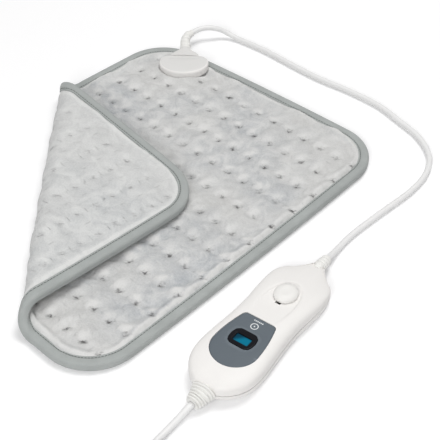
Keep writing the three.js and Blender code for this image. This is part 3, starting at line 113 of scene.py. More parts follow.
def group_node(tree, group, inputs):
    """Places a node group in a tree and gives back its outputs."""
    node = tree.nodes.new("ShaderNodeGroup")
    node.node_tree = group
    feed(tree, node, inputs)
    return node.outputs


def make_tone_group():
    """Two tones of one colour in soft patches, as dye, handling and dust leave them."""
    group, given, result = new_group(
        "soft_tone",
        [("Color", "Color", (1, 1, 1, 1)), ("Second Color", "Color", (1, 1, 1, 1)), ("Scale", "Float", 60),
         ("Spread", "Float", 0.5)],
        [("Color", "Color")],
    )
    patches = noise(group, add_node(group, "TexCoord", "Object"), given["Scale"], 5, 0.6)
    share = ranged(group, patches, 0.3, 0.7, given["Spread"])
    feed(group, result, {"Color": blended(group, share, given["Color"], given["Second Color"])})
    return group


def make_grain_group():
    """Fine sparkle of a moulded or extruded skin: a height and a roughness that vary with it."""
    group, given, result = new_group(
        "moulded_grain",
        [("Scale", "Float", 1800), ("Roughness", "Float", 0.4), ("Variation", "Float", 0.1)],
        [("Height", "Float"), ("Roughness", "Float")],
    )
    place = add_node(group, "TexCoord", "Object")
    uneven = reckon(group, "SUBTRACT", noise(group, place, 45, 6), 0.5)
    feed(group, result, {
        "Height": noise(group, place, given["Scale"], 3),
        "Roughness": reckon(group, "MULTIPLY_ADD", uneven, given["Variation"], given["Roughness"]),
    })
    return group


def make_wear_group():
    """Handled edges: a mask that is high on convex edges and broken up by noise."""
    group, given, result = new_group(
        "edge_wear",
        [("Low", "Float", 0.52), ("High", "Float", 0.6), ("Scale", "Float", 120)],
        [("Mask", "Float")],
    )
    edges = ranged(group, add_node(group, "NewGeometry", "Pointiness"), given["Low"], given["High"])
    broken = noise(group, add_node(group, "TexCoord", "Object"), given["Scale"], 6)
    feed(group, result, {"Mask": reckon(group, "MULTIPLY", edges, broken)})
    return group


tone_group, grain_group, wear_group = make_tone_group(), make_grain_group(), make_wear_group()


def new_material(name):
    """A material with its node tree and its shader."""
    material = bpy.data.materials.new(name)
    material.use_nodes = True
    return material, material.node_tree, material.node_tree.nodes["Principled BSDF"]


def moulded(name, color, second, roughness, grain_scale, grain_depth, wear=None, coat=0.0, variation=0.1,
            tone_scale=60, specular=0.5, metallic=0.0):
    """A moulded finish: two-tone colour, grain in its gloss and surface, and worn edges."""
    material, tree, shader = new_material(name)
    tones = {"Color": (*color, 1), "Second Color": (*second, 1), "Scale": tone_scale}
    base = group_node(tree, tone_group, tones)["Color"]
    skin = {"Scale": grain_scale, "Roughness": roughness, "Variation": variation}
    grain = group_node(tree, grain_group, skin)
    if wear:
        base = blended(tree, group_node(tree, wear_group, {})["Mask"], base, (*wear, 1))
    feed(tree, shader, {
        "Base Color": base, "Roughness": grain["Roughness"],
        "Normal": bumped(tree, grain["Height"], grain_depth),
        "Metallic": metallic, "Coat Weight": coat, "Coat Roughness": 0.15, "Specular IOR Level": specular,
    })
    return material


cord_sheath = moulded("cord_sheath", (0.82, 0.82, 0.815), (0.78, 0.78, 0.775), 0.42, 900, 0.02)


def through(points, step, power=0.5):
    """A smooth line through points, sampled about every step; power 0 spaces its knots evenly."""
    route = np.array(points, float)
    route = np.vstack([2 * route[0] - route[1], route, 2 * route[-1] - route[-2]])
    line = []
    for a, b, c, d in zip(route, route[1:], route[2:], route[3:]):
        ta = 0.0
        tb = ta + np.linalg.norm(b - a) ** power
        tc = tb + np.linalg.norm(c - b) ** power
        td = tc + np.linalg.norm(d - c) ** power
        count = max(2, int(round(np.linalg.norm(c - b) / step)))
        for t in np.linspace(tb, tc, count, endpoint=False):
            ab = (tb - t) / (tb - ta) * a + (t - ta) / (tb - ta) * b
            bc = (tc - t) / (tc - tb) * b + (t - tb) / (tc - tb) * c
            cd = (td - t) / (td - tc) * c + (t - tc) / (td - tc) * d
            abc = (tc - t) / (tc - ta) * ab + (t - ta) / (tc - ta) * bc
            bcd = (td - t) / (td - tb) * bc + (t - tb) / (td - tb) * cd
            line.append((tc - t) / (tc - tb) * abc + (t - tb) / (tc - tb) * bcd)
    line.append(route[-2])
    return np.array(line)


def run_along(line):
    """Distance along a line at each of its points."""
    return np.concatenate([[0], np.cumsum(np.linalg.norm(np.diff(line, axis=0), axis=1))])


def unit(vector):
    return vector / np.linalg.norm(vector)


def cord_curve(name, line, diameter, material):
    """A cord as one open spline with a round section."""
    data = bpy.data.curves.new(name, "CURVE")
    data.dimensions = "3D"
    data.bevel_depth = diameter / 2000
    data.bevel_resolution = 5
    data.use_fill_caps = True
    spline = data.splines.new("POLY")
    spline.points.add(len(line) - 1)
    for point, place in zip(spline.points, line):
        point.co = (*(place / 1000), 1)
    spline.use_smooth = True
    piece = bpy.data.objects.new(name, data)
    bpy.context.scene.collection.objects.link(piece)
    data.materials.append(material)
    return piece


# Pad cord: thin two-core flex, moulded into the plug's sleeve at one end and the hand control's at the other.
# It rises over the pad's edge, falls to the surface and lies in one wide bend round the far corner.
cord_diameter = 6
pad_cord_route = [
    (-140.2, 216.6, 15.4), (-140.1, 222.2, 15.5), (-138.4, 230.4, 15.6), (-134.2, 237.4, 15.2),
    (-129.4, 243.4, 13.6), (-125, 249.2, 10.6), (-118.6, 253.8, 6.6), (-108.4, 256.6, 3.8),
    (-96.6, 258.4, 3.3), (-66.6, 260.9, 3.3), (-24.5, 260.4, 3.3), (12.1, 261.2, 3.3),
    (46.1, 265.5, 3.3), (88.7, 266.4, 3.3), (121.5, 259.4, 3.3), (144.8, 253.8, 3.3),
    (164.8, 243.5, 3.3), (179.9, 229.3, 3.3), (190.9, 205.7, 3.3), (194.6, 176.2, 3.3),
    (193.7, 147.2, 3.3), (192.6, 120.8, 3.3), (192.3, 88.3, 3.3), (195, 66, 4.2),
    (198.2, 51.6, 7.4), (199.2, 45.4, 8.6),
]
pad_cord_line = through(pad_cord_route, 2)
pad_cord = cord_curve("pad_cord_flex", pad_cord_line, cord_diameter, cord_sheath)
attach(pad_cord, "lead")
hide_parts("pad_cord")

# Mains lead: the same flex, out of the hand control's lower sleeve, wound in a neat coil of four layers
# just outside the view, then a short tail to the mains plug. It is one length from end to end.
mains_start = [
    (226, -154.2, 8), (226.4, -160.5, 7.1), (226.9, -170, 5.4), (227.6, -182, 3.9), (228.6, -194, 3.4),
    (229.9, -206, 3.3), (231.7, -220, 3.6), (233.25, -236, 4.3), (233.25, -243.7, 4.3),
]
coil_centre = (274, -250)
coil_turns, coil_layers, coil_pitch, coil_low = 9.25, 4, 6.7, 4.3
turns_per_layer = coil_turns / coil_layers
coil_outer = 33 + turns_per_layer * coil_pitch / 2


def coil_point(turn):
    """A point of the coil, which winds in and out by turns and climbs a layer at each change."""
    place = turn / turns_per_layer
    layer = min(int(place), coil_layers - 1)
    within = place - layer
    inward = within if layer % 2 == 0 else 1 - within
    radius = coil_outer - inward * turns_per_layer * coil_pitch
    nearest = min(max(round(place), 1), coil_layers - 1)
    climb = min(max((turn - nearest * turns_per_layer + 0.25) / 0.5, 0), 1)
    level = nearest - 1 + climb * climb * (3 - 2 * climb)
    angle = math.pi + 2 * math.pi * turn
    return (coil_centre[0] + radius * math.cos(angle), coil_centre[1] + radius * math.sin(angle),
            coil_low + level * coil_pitch)


coil_line = [coil_point(coil_turns * i / 444) for i in range(445)]
end_x, end_y, end_z = coil_line[-1]
plug_middle = 7.15
plug_tail = [(end_x + 6.3, end_y, end_z), (end_x + 12.3, end_y, end_z), (end_x + 29.6, end_y, end_z * 0.78),
             (end_x + 49.7, end_y, 10.15), (end_x + 70, end_y, plug_middle),
             (end_x + 75.7, end_y, plug_middle)]
mains_line = np.vstack([through(mains_start, 2)[:-1], coil_line, through(plug_tail, 2)])
mains_lead = cord_curve("mains_lead", mains_line, cord_diameter, cord_sheath)
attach(mains_lead, "lead")
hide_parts("mains_cord", "mains_coil", "plug_tail_cord")


# Mains plug: a flat two-pin plug moulded on the end of the lead, with a grip waist on each side
# and a ribbed sleeve that keeps the flex from kinking. The pins are pressed in as it is moulded.
def put_mesh(name, points, faces, material, body, smooth=True):
    """A mesh piece from points in millimetres, riding on a body where one is named."""
    data = bpy.data.meshes.new(name)
    data.from_pydata((np.asarray(points, float) / 1000).tolist(), [], [list(map(int, f)) for f in faces])
    data.validate()
    data.materials.append(material)
    for polygon in data.polygons:
        polygon.use_smooth = smooth
    piece = bpy.data.objects.new(name, data)
    bpy.context.scene.collection.objects.link(piece)
    if body:
        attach(piece, body)
    return piece


def band(start, count):
    """Faces between two rings of equally many points that follow each other."""
    return [(start + i, start + (i + 1) % count, start + count + (i + 1) % count, start + count + i)
            for i in range(count)]


def loft_faces(rings, count, ends=True):
    faces = [face for r in range(rings - 1) for face in band(r * count, count)]
    if ends:
        faces.append(tuple(reversed(range(count))))
        faces.append(tuple(range((rings - 1) * count, rings * count)))
    return faces


def face_out(piece, gap=0):
    """Turns a mesh's faces outward, and first joins points that are less than a gap apart."""
    made = bmesh.new()
    made.from_mesh(piece.data)
    if gap:
        bmesh.ops.remove_doubles(made, verts=made.verts, dist=gap / 1000)
    bmesh.ops.recalc_face_normals(made, faces=made.faces)
    made.to_mesh(piece.data)
    made.free()


def crisp(piece, degrees):
    """Keeps edges sharper than an angle crisp."""
    piece.data.set_sharp_from_angle(angle=math.radians(degrees))


def loft(name, rings, material, body, ends=True, sharp=None):
    """A skin over rings of equally many points, closed at both ends."""
    rings = np.asarray(rings, float)
    piece = put_mesh(name, rings.reshape(-1, 3), loft_faces(len(rings), rings.shape[1], ends), material, body)
    face_out(piece)
    if sharp:
        crisp(piece, sharp)
    return piece


def oval(centre, direction, half_width, half_height, count, power=2.0):
    """An upright superellipse ring across a line, square to its direction."""
    centre, direction = np.array(centre, float), np.array(direction, float)
    side = unit(np.array([direction[1], -direction[0], 0]))
    up = unit(np.cross(side, direction))
    angle = 2 * np.pi * np.arange(count) / count
    across = np.sign(np.cos(angle)) * np.abs(np.cos(angle)) ** (2 / power) * half_width
    rise = np.sign(np.sin(angle)) * np.abs(np.sin(angle)) ** (2 / power) * half_height
    return centre + across[:, None] * side + rise[:, None] * up


def at_share(line, share):
    """The point and direction at a share of a line's length."""
    run = run_along(line)
    before, place, after = (np.array([np.interp(np.clip(share * run[-1] + ahead, 0, run[-1]), run, line[:, k])
                                      for k in range(3)]) for ahead in (-1, 0, 1))
    return place, unit(after - before)


def ribbed_rings(line, ribs, root, tip, groove=0.9, count=40):
    """Rings of a tapered sleeve with rounded ribs and a groove after each."""
    rings = []
    for k in range(ribs * 14 + 1):
        share = k / (ribs * 14)
        within = share * ribs - math.floor(share * ribs)
        pulse = np.interp(within, (0, 0.07, 0.5, 0.6, 0.7, 0.88, 1), (0.25, 0, 0, 0.5, 1, 1, 0.25))
        depth = groove * pulse if 0 < k < ribs * 14 else 0.4
        place, heading = at_share(line, share)
        rings.append(oval(place, heading, root[0] + (tip - root[0]) * share - depth,
                          root[1] + (tip - root[1]) * share - depth, count))
    return rings


def at_section(sections, share):
    """Width, height and power of a row of sections at a share of its length."""
    table = np.array(sections)
    return [np.interp(share, table[:, 0], column) for column in table.T[1:]]


plug_base = end_x + 100
ivory_rubber = moulded("ivory_rubber", (0.83, 0.825, 0.80), (0.78, 0.775, 0.75), 0.5, 1500, 0.04)
white_shell = moulded("white_shell", (0.845, 0.83, 0.81), (0.825, 0.81, 0.79), 0.48, 2600, 0.015,
                      wear=(0.86, 0.845, 0.825), specular=0.35)
sleeve_line = np.array([(plug_base - 0.3 - 23.7 * k / 12, end_y, plug_middle) for k in range(13)])
plug_sleeve = loft("plug_sleeve", ribbed_rings(sleeve_line, 6, (5.4, 5.4), 3.7, 0.8, 32), ivory_rubber,
                   "lead")
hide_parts("mains_plug_relief")
plug_sections = [(0, 0.5, 0.86, 2.4), (0.12, 0.68, 0.96, 2.8), (0.34, 0.84, 1, 3.4), (0.6, 0.95, 1, 4),
                 (0.95, 1, 1, 4.5), (1, 0.97, 0.95, 4.5)]
plug_rings = []
for share in np.linspace(0, 1, 46):
    wide, high, power = at_section(plug_sections, share)
    grip = 0.35 * max(0, math.sin((share - 0.2) * 2 * math.pi * 9)) if 0.2 < share < 0.64 else 0
    plug_rings.append(oval((plug_base + 35 * share, end_y, plug_middle), (1, 0, 0), 13 * wide - grip,
                           6.85 * high, 64, power))
mains_plug = loft("mains_plug", plug_rings, white_shell, "lead", sharp=50)
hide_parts("mains_plug_body")

# Plug pins: turned brass with a rounded tip, nickel bright, in an insulating collar half way up.
# They are held by the plug's moulding.
nickel = moulded("nickel_brass", (0.78, 0.71, 0.52), (0.70, 0.62, 0.42), 0.22, 700, 0.01, metallic=1.0)
pin_collar = moulded("pin_collar", (0.80, 0.79, 0.77), (0.74, 0.73, 0.71), 0.4, 1200, 0.02)
pin_profile = ((34.4, 2), (41, 2), (41.2, 1.95), (52.2, 1.95), (53.2, 1.75), (53.8, 1.2), (54, 0.5))
for number, side in ((1, -1), (2, 1)):
    pin_rings = [oval((plug_base + along, end_y - side * 9.3, plug_middle), (1, 0, 0), radius, radius, 28)
                 for along, radius in pin_profile]
    pin = loft(f"plug_pin_{number}", pin_rings, nickel, "lead")
    pin.data.materials.append(pin_collar)
    for polygon in pin.data.polygons:
        if polygon.center.x * 1000 < plug_base + 41.1:
            polygon.material_index = 1
    crisp(pin, 40)
    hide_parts(f"mains_plug_pin_{number}")

# Coil tie: a flat woven hook tape in dark grey, wrapped once round the coil's bundle and pressed on itself.
# It is what keeps the lead's spare length together.
tie_fabric = moulded("tie_fabric", (0.035, 0.036, 0.04), (0.06, 0.06, 0.065), 0.85, 1600, 0.25)
bundle_low, bundle_high = 1.0, coil_low + (coil_layers - 1) * coil_pitch + 3.5
bundle_inner, bundle_outer = coil_outer - turns_per_layer * coil_pitch - 3.5, coil_outer + 3.5
tie_angle = 0.7
outward = np.array([math.cos(tie_angle), math.sin(tie_angle), 0])
sideways = np.array([-math.sin(tie_angle), math.cos(tie_angle), 0])
tie_middle = np.array([*coil_centre, 0]) + outward * (bundle_inner + bundle_outer) / 2
tie_middle[2] = (bundle_low + bundle_high) / 2
tie_rings = [oval(tie_middle + sideways * shift, sideways, (bundle_outer - bundle_inner) / 2 + extra,
                  (bundle_high - bundle_low) / 2 + extra, 96, 9)
             for shift, extra in ((-3, 0.05), (-3, 0.65), (-2.7, 0.8), (2.7, 0.8), (3, 0.65), (3, 0.05),
                                  (-3, 0.05))]
coil_tie = loft("coil_strap", tie_rings, tie_fabric, "lead", ends=False, sharp=60)
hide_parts("coil_tie")

# Pad covers: two cut panels of short plush over thin wadding, quilted together by a lattice of small welds.
# Each weld pinches the cloth, and the pile puffs up between them.
pad_width, pad_length, pad_half = 318, 397, 5
corner_shares = ((-1.038, 0.972), (0.912, 1.058), (0.969, -1.013), (-1.082, -0.957))
corner_radius, side_bow = 50, 1.5
dot_columns, dot_rows, dot_pitch_x, dot_pitch_y, dot_shift = 14, 12, 20.8, 30.3, -4
fold_angle, fold_distance, flap_droop = 0.74, 72.6, 0.09
fold_normal = np.array((-math.cos(fold_angle), -math.sin(fold_angle)))
fold_line = np.array((math.sin(fold_angle), -math.cos(fold_angle)))


def folded(plan, depth):
    """Where flat points of the pad come to lie, at a depth below its middle surface."""
    plan = np.asarray(plan, float)
    across, along = plan @ fold_normal - fold_distance, plan @ fold_line
    radius = 14.9 + (10 - 14.9) * np.clip((along + 175) / 360, 0, 1)
    flap_turn = math.pi + flap_droop
    turn = np.clip(across / radius, 0, flap_turn)
    past = np.maximum(across - radius * flap_turn, 0)
    reach = (fold_distance + np.minimum(across, 0) + (radius + depth) * np.sin(turn)
             - past * math.cos(flap_droop))
    rise = pad_half + radius - (radius + depth) * np.cos(turn) - past * math.sin(flap_droop)
    place = reach[..., None] * fold_normal + along[..., None] * fold_line
    return np.concatenate([place, rise[..., None]], axis=-1)


def pad_outline(step):
    """Points round the flat pad and their outward directions, clockwise from above."""
    corners = np.array(corner_shares) * (pad_width / 2, pad_length / 2)
    arcs = []
    for k, corner in enumerate(corners):
        before, after = unit(corners[k - 1] - corner), unit(corners[(k + 1) % 4] - corner)
        half = math.acos(before @ after) / 2
        middle = unit(before + after) * corner_radius / math.sin(half) + corner
        start = before * corner_radius / math.tan(half) + corner - middle
        arcs.append((middle, math.atan2(start[1], start[0]), math.pi - 2 * half))
    points, outs = [], []
    for k, (middle, start, sweep) in enumerate(arcs):
        count = int(sweep * corner_radius / step)
        for i in range(count + 1):
            out = np.array((math.cos(start - sweep * i / count), math.sin(start - sweep * i / count)))
            points.append(out * corner_radius + middle)
            outs.append(out)
        next_middle, next_start, _ = arcs[(k + 1) % 4]
        ahead = np.array((math.cos(next_start), math.sin(next_start))) * corner_radius + next_middle
        behind = points[-1]
        count = int(np.linalg.norm(ahead - behind) / step)
        for i in range(1, count):
            share = i / count
            points.append(behind + (ahead - behind) * share + out * side_bow * 4 * share * (1 - share))
            outs.append(out)
    return np.array(points), np.array(outs)


rim_points, rim_outs = pad_outline(2.2)


def rim_distance(plan):
    """How far plan points lie inside the pad's outline."""
    plan = np.asarray(plan, float)
    reach = (rim_points * rim_outs).sum(1)
    return np.concatenate([(reach - part @ rim_outs.T).min(1)
                           for part in np.array_split(plan, len(plan) // 20000 + 1)])


def eased(low, high, value):
    """0 below low, 1 above high, and a smooth rise between."""
    share = np.clip((value - low) / (high - low), 0, 1)
    return share * share * (3 - 2 * share)


weld_places = np.array([((i - 6.5) * dot_pitch_x, (5.5 - j) * dot_pitch_y + dot_shift)
                        for j in range(dot_rows) for i in range(dot_columns)])
weld_places = weld_places[rim_distance(weld_places) > 9]


def nearest_weld(plan):
    """Offset of each plan point from its nearest weld, and that weld's number."""
    number = np.argmin((weld_places ** 2).sum(1) - 2 * plan @ weld_places.T, axis=1)
    return plan - weld_places[number], number


def cell(row, column, width):
    """The corners of a cell in a grid that has so many points in a row."""
    first = row * width + column
    return first, first + 1, first + width + 1, first + width


def flat_body():
    """The flat pad before it is puffed: a grid whose corners meet the welds."""
    xs = (np.arange(-42, 42) + 0.5) * dot_pitch_x / 5
    ys = (np.arange(-50, 50) + 0.5) * dot_pitch_y / 7 + dot_shift
    grid = np.array([(x, y) for y in ys for x in xs])
    inside = (rim_distance(grid) > 3).reshape(len(ys), len(xs))
    cells = inside[:-1, :-1] & inside[1:, :-1] & inside[:-1, 1:] & inside[1:, 1:]
    quads = [cell(j, i, len(xs)) for j, i in np.argwhere(cells)]
    used = sorted({k for quad in quads for k in quad})
    number = {k: n for n, k in enumerate(used)}
    return grid[used], np.array([[number[k] for k in quad] for quad in quads])


def both_skins(quads, count, inward):
    """Faces of two equal skins, one under the other, with walls round their open edges."""
    edges = {}
    for quad in quads:
        for a, b in zip(quad, np.roll(quad, -1)):
            edges[frozenset((a, b))] = None if frozenset((a, b)) in edges else (a, b)
    walls = [(a, b, b + count, a + count) if inward else (a, a + count, b + count, b)
             for a, b in filter(None, edges.values())]
    return [tuple(q) for q in quads] + [tuple(q[::-1] + count) for q in quads] + walls


cloth_plan, cloth_quads = flat_body()
cloth_rim = rim_distance(cloth_plan)
weld_offset = nearest_weld(cloth_plan)[0]
held = (np.hypot(*weld_offset.T) < 0.1) | (cloth_rim < 8.5)


def flat_height(inset):
    """Half the pad's thickness before it is puffed, thinner at the rim."""
    return 2.7 + 0.5 * eased(7, 16, inset)


def shown_mesh(piece):
    """A piece's mesh with its modifiers at work, as points in millimetres and faces; the piece is used up."""
    ready = piece.evaluated_get(bpy.context.evaluated_depsgraph_get())
    places = np.array([v.co for v in ready.data.vertices]) * 1000
    faces = [p.vertices[:] for p in ready.data.polygons]
    bpy.data.objects.remove(piece)
    return places, faces


def puffed_cover():
    """The cover over its middle surface, puffed by pressure while the welds and the rim hold it."""
    start = flat_height(cloth_rim)
    count = len(cloth_plan)
    skins = np.vstack([np.column_stack([cloth_plan, start]), np.column_stack([cloth_plan, -start])])
    body = put_mesh("cloth_body", skins, both_skins(cloth_quads, count, False), cord_sheath, None)
    pins = body.vertex_groups.new(name="held")
    pins.add([int(k) for k in np.flatnonzero(np.concatenate([held, held]))], 1.0, "REPLACE")
    cloth = body.modifiers.new("cloth", "CLOTH")
    cloth.settings.vertex_group_mass = "held"
    cloth.settings.use_pressure = True
    cloth.settings.uniform_pressure_force = 4
    cloth.settings.shrink_min = -0.05
    cloth.settings.quality = 6
    cloth.settings.tension_stiffness = 12
    cloth.settings.bending_stiffness = 0.02
    cloth.settings.effector_weights.gravity = 0
    cloth.collision_settings.use_collision = False
    for number in range(1, 21):
        bpy.context.scene.frame_set(number)
    moved = shown_mesh(body)[0][:count]
    bpy.context.scene.frame_set(1)
    moved[:, :2] = cloth_plan + np.clip(moved[:, :2] - cloth_plan, -1.2, 1.2)
    moved[:, 2] = np.clip(moved[:, 2], 2.2, 8)
    return moved


puffed = puffed_cover()


def refined(points, quads, rounds):
    """The cloth after smooth subdivision, as plan points with heights, and its quads."""
    piece = put_mesh("cloth_refined", points, quads, cord_sheath, None)
    finer = piece.modifiers.new("finer", "SUBSURF")
    finer.levels = rounds
    finer.render_levels = rounds
    places, faces = shown_mesh(piece)
    return places, np.array(faces)


socket_centre, socket_turn, plug_height = np.array((-103, 166.5)), 0.733, 15.4


def turned(points, centre, turn):
    """Local points turned about the vertical and moved to a centre."""
    points = np.asarray(points, float)
    c, s = math.cos(turn), math.sin(turn)
    x, y = points[..., 0] * c - points[..., 1] * s, points[..., 0] * s + points[..., 1] * c
    return np.stack([x + centre[0], y + centre[1], points[..., 2]], axis=-1)


def bezier(a, b, c, d, count):
    t = np.linspace(0, 1, count, endpoint=False)[:, None]
    return ((1 - t) ** 3 * np.array(a) + 3 * t * (1 - t) ** 2 * np.array(b)
            + 3 * t * t * (1 - t) * np.array(c) + t ** 3 * np.array(d))


def even_spaced(loop, count):
    """A closed outline with evenly spaced points."""
    loop = np.vstack([loop, loop[:1]])
    run = run_along(loop)
    stops = np.linspace(0, run[-1], count, endpoint=False)
    return np.column_stack([np.interp(stops, run, loop[:, 0]), np.interp(stops, run, loop[:, 1])])


def socket_outline():
    """Outline of the socket's housing: a wide round front that draws in to a straight back."""
    wide, front, back = 26.8, 21.5, 12
    right = bezier((0.68 * wide, back), (0.9 * wide, 0.85 * back), (wide, back / 2), (wide, 0), 24)
    angle = np.linspace(0, -math.pi, 90, endpoint=False)
    round_front = np.column_stack([wide * np.cos(angle), front * np.sin(angle)])
    left = bezier((-wide, 0), (-wide, back / 2), (-0.9 * wide, 0.85 * back), (-0.68 * wide, back), 24)
    return even_spaced(np.vstack([right, round_front, left, [(-0.68 * wide, back)]]), 220)


def inside_by(loop, plan):
    """Signed distance of plan points from a closed outline, positive inside it."""
    plan = np.asarray(plan, float)
    ahead = np.roll(loop, -1, axis=0)
    edge = ahead - loop
    toward = plan[:, None] - loop[None]
    share = np.clip((toward * edge).sum(2) / (edge ** 2).sum(1), 0, 1)
    distance = np.linalg.norm(toward - share[..., None] * edge, axis=2).min(1)
    crosses = (loop[None, :, 1] > plan[:, None, 1]) != (ahead[None, :, 1] > plan[:, None, 1])
    rise = np.where(np.abs(edge[:, 1]) < 1e-12, 1e-12, edge[:, 1])
    at_x = loop[:, 0] + (plan[:, 1, None] - loop[:, 1]) / rise * edge[:, 0]
    odd = (crosses & (plan[:, 0, None] < at_x)).sum(1) % 2 == 1
    return np.where(odd, distance, -distance)


socket_loop = socket_outline()


def seat_round_socket(plan, height):
    """The top cover's height where the socket clamps it down and the plush wells up round the housing."""
    local = turned(np.column_stack([plan - socket_centre, np.zeros(len(plan))]), (0, 0), -socket_turn)[:, :2]
    near = np.flatnonzero(np.hypot(*local.T) < 48)
    inside = inside_by(socket_loop, local[near])
    swell = 1.6 * np.exp(-((inside + 1.5) / 4) ** 2) * (1 - eased(2, 11, local[near, 1]))
    pressed = eased(-0.6, 1.6, inside)
    level = (height[near] + swell) * (1 - pressed) + np.minimum(height[near], 3.5) * pressed
    under_plug = (1 - eased(17, 24, np.abs(local[near, 0]))) * eased(4, 9, local[near, 1])
    result = height.copy()
    result[near] = level * (1 - under_plug) + np.minimum(level, 4.4) * under_plug
    return result


def weld_relief(offset, number, random):
    """Folds that run out from each weld, each its own way, and the pillow that stands behind it."""
    folds = np.zeros(len(offset))
    for side, lean in ((0, 0.35), (math.pi, 0.35), (0.9, 0.5), (math.pi + 0.7, 0.5)):
        turn = (0.76 + side + random.normal(0, lean, len(weld_places)))[number]
        reach = random.uniform(4.5, 8.5, len(weld_places))[number]
        depth = random.uniform(0.35, 1, len(weld_places))[number]
        ahead = offset[:, 0] * np.cos(turn) + offset[:, 1] * np.sin(turn)
        aside = offset[:, 1] * np.cos(turn) - offset[:, 0] * np.sin(turn)
        aside = aside + 0.5 * np.sin(ahead * 1.1 + 7 * depth)
        fading = eased(0, 1.2, ahead) * (1 - eased(0.4, 1, ahead / reach))
        folds += depth * np.exp(-(aside / 0.95) ** 2) * fading
    back, beside = offset @ (-0.69, 0.72), offset @ (0.72, 0.69)
    size = random.uniform(0.6, 1.15, len(weld_places))[number]
    pillow = size * np.exp(-((back - 6.2) / 3.9) ** 2 - (beside / 5.6) ** 2)
    return np.minimum(folds, 1.2), pillow


def cover(name, side, puff, pinch, crease, material):
    """One plush cover: side 1 is the top, -1 the underside. Puff, pinch and crease are its relief in mm."""
    places, faces = refined(puffed, cloth_quads, 2 if side > 0 else 1)
    plan, height = places[:, :2], places[:, 2]
    inset = rim_distance(plan)
    offset, number = nearest_weld(plan)
    reach = np.hypot(*offset.T)
    folds, pillow = weld_relief(offset, number, np.random.default_rng(7 if side > 0 else 8))
    base = flat_height(inset)
    pucker_and_shade = np.exp(-(reach / 1.35) ** 2)
    funnel = np.exp(-(reach / 4.6) ** 2)
    ripple = (np.sin(plan[:, 0] / 7.3 + 2.1 * np.sin(plan[:, 1] / 31)) * np.sin(plan[:, 1] / 9.1 + 1.3 * side)
              + 0.6 * np.sin(plan[:, 0] / 5.1 + plan[:, 1] / 6.3))
    height = base + (height - base) * puff + crease * (pillow - folds) - pinch * (pucker_and_shade + 0.55 * funnel)
    height += 0.22 * puff * ripple * eased(12, 20, inset)
    if side > 0:
        height += 2.1 * np.exp(-((inset - 13.2) / 3.8) ** 2)
        height = seat_round_socket(plan, height)
        faces = faces[np.hypot(*(plan[faces].mean(1) - socket_centre).T) > 7.5]
    else:
        flat = 1 - eased(-6, 22, plan @ fold_normal - fold_distance)
        height = height * (1 - flat) + np.minimum(height * 0.2 + 3.95, 4.93) * flat
    height = np.where(inset < 9.5, np.minimum(height, 3.2), height)
    skins = np.vstack([folded(plan, -side * height), folded(plan, -side * (height - 1.0))])
    piece = put_mesh(name, skins, both_skins(faces, len(plan), True), material, None)
    weld = piece.data.attributes.new("weld", "FLOAT_VECTOR", "POINT")
    local = np.column_stack([offset @ (0.724, 0.69), offset @ (-0.69, 0.724), 7.3 * number])
    weld.data.foreach_set("vector", np.vstack([local, local]).astype(np.float32).ravel())
    # Painted highlight: the pillow attribute lightens the pillow behind each weld and a band along the top of
    # the rim ridge.
    rim_ridge_highlight = 0.9 * np.exp(-((inset - 12) / 2.2) ** 2)
    # Painted shade: the pucker attribute darkens the middle of each weld.
    for label, values in (("pucker_and_shade", 0.75 * crease * pucker_and_shade), ("pillow", 0.95 * crease * pillow + rim_ridge_highlight)):
        attribute = piece.data.attributes.new(label, "FLOAT", "POINT")
        attribute.data.foreach_set("value", np.concatenate([values, values]).astype(np.float32))
    face_out(piece)
    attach(piece, "pad")
    return piece


def make_plush_group():
    """Short brushed pile: tufts as a height and a brightness that shifts where the pile lies another way.
    The pale pillows behind the welds are a painted highlight, and the dark creases that run out from the
    welds and the weld marks are painted shade."""
    group, given, result = new_group(
        "plush_pile",
        [("Color", "Color", (0.6, 0.6, 0.6, 1)), ("Brushed And Highlight Color", "Color", (0.7, 0.7, 0.7, 1)),
         ("Shaded Color", "Color", (0.5, 0.52, 0.55, 1)), ("Pinch Shade Color", "Color", (0.3, 0.3, 0.3, 1)),
         ("Tuft Scale", "Float", 700), ("Brush Scale", "Float", 60), ("Brush Spread", "Float", 0.7)],
        [("Color", "Color"), ("Height", "Float")],
    )
    place = add_node(group, "TexCoord", "Object")
    pillow, pucker_and_shade = (add_node(group, "Attribute", "Fac", attribute_name=label)
                      for label in ("pillow", "pucker_and_shade"))
    weld = add_node(group, "Attribute", "Vector", attribute_name="weld")
    tufts = noise(group, place, given["Tuft Scale"], 4, 0.7)
    brushed = noise(group, place, given["Brush Scale"], 7, 0.62, 1.1)
    # Painted highlight: the pillow attribute lightens the pile towards the brushed colour.
    lit = reckon(group, "ADD", ranged(group, brushed, 0.36, 0.64, given["Brush Spread"]), pillow, clamp=True)
    shaded = blended(group, ranged(group, noise(group, place, 10, 3), 0.42, 0.68), given["Color"],
                     given["Shaded Color"])
    pile = blended(group, 0.35, blended(group, lit, shaded, given["Brushed And Highlight Color"]), tufts, "OVERLAY")
    streaked, squeezed = (add_node(group, "VectorMath", "Vector", {0: weld, 1: stretch}, operation="MULTIPLY")
                          for stretch in ((0.26, 0.62, 1), (0.8, 1.15, 0)))
    # Painted shade: dark crease lines round each weld and the pucker attribute darken the pile towards the
    # pinch colour.
    lines = ranged(group, noise(group, streaked, 1, 2, 0.5, 0.6), 0.5, 0.64)
    reach = add_node(group, "VectorMath", "Value", {0: squeezed}, operation="LENGTH")
    near = ranged(group, reach, 5.2, 0.6, interpolation_type="SMOOTHSTEP")
    creased = reckon(group, "MULTIPLY", near, lines)
    marks = reckon(group, "MULTIPLY_ADD", creased, 0.8, pucker_and_shade, clamp=True)
    relief = reckon(group, "MULTIPLY_ADD", brushed, 0.6, tufts)
    feed(group, result, {"Color": blended(group, marks, pile, given["Pinch Shade Color"]),
                         "Height": reckon(group, "MULTIPLY_ADD", creased, -0.9, relief)})
    return group


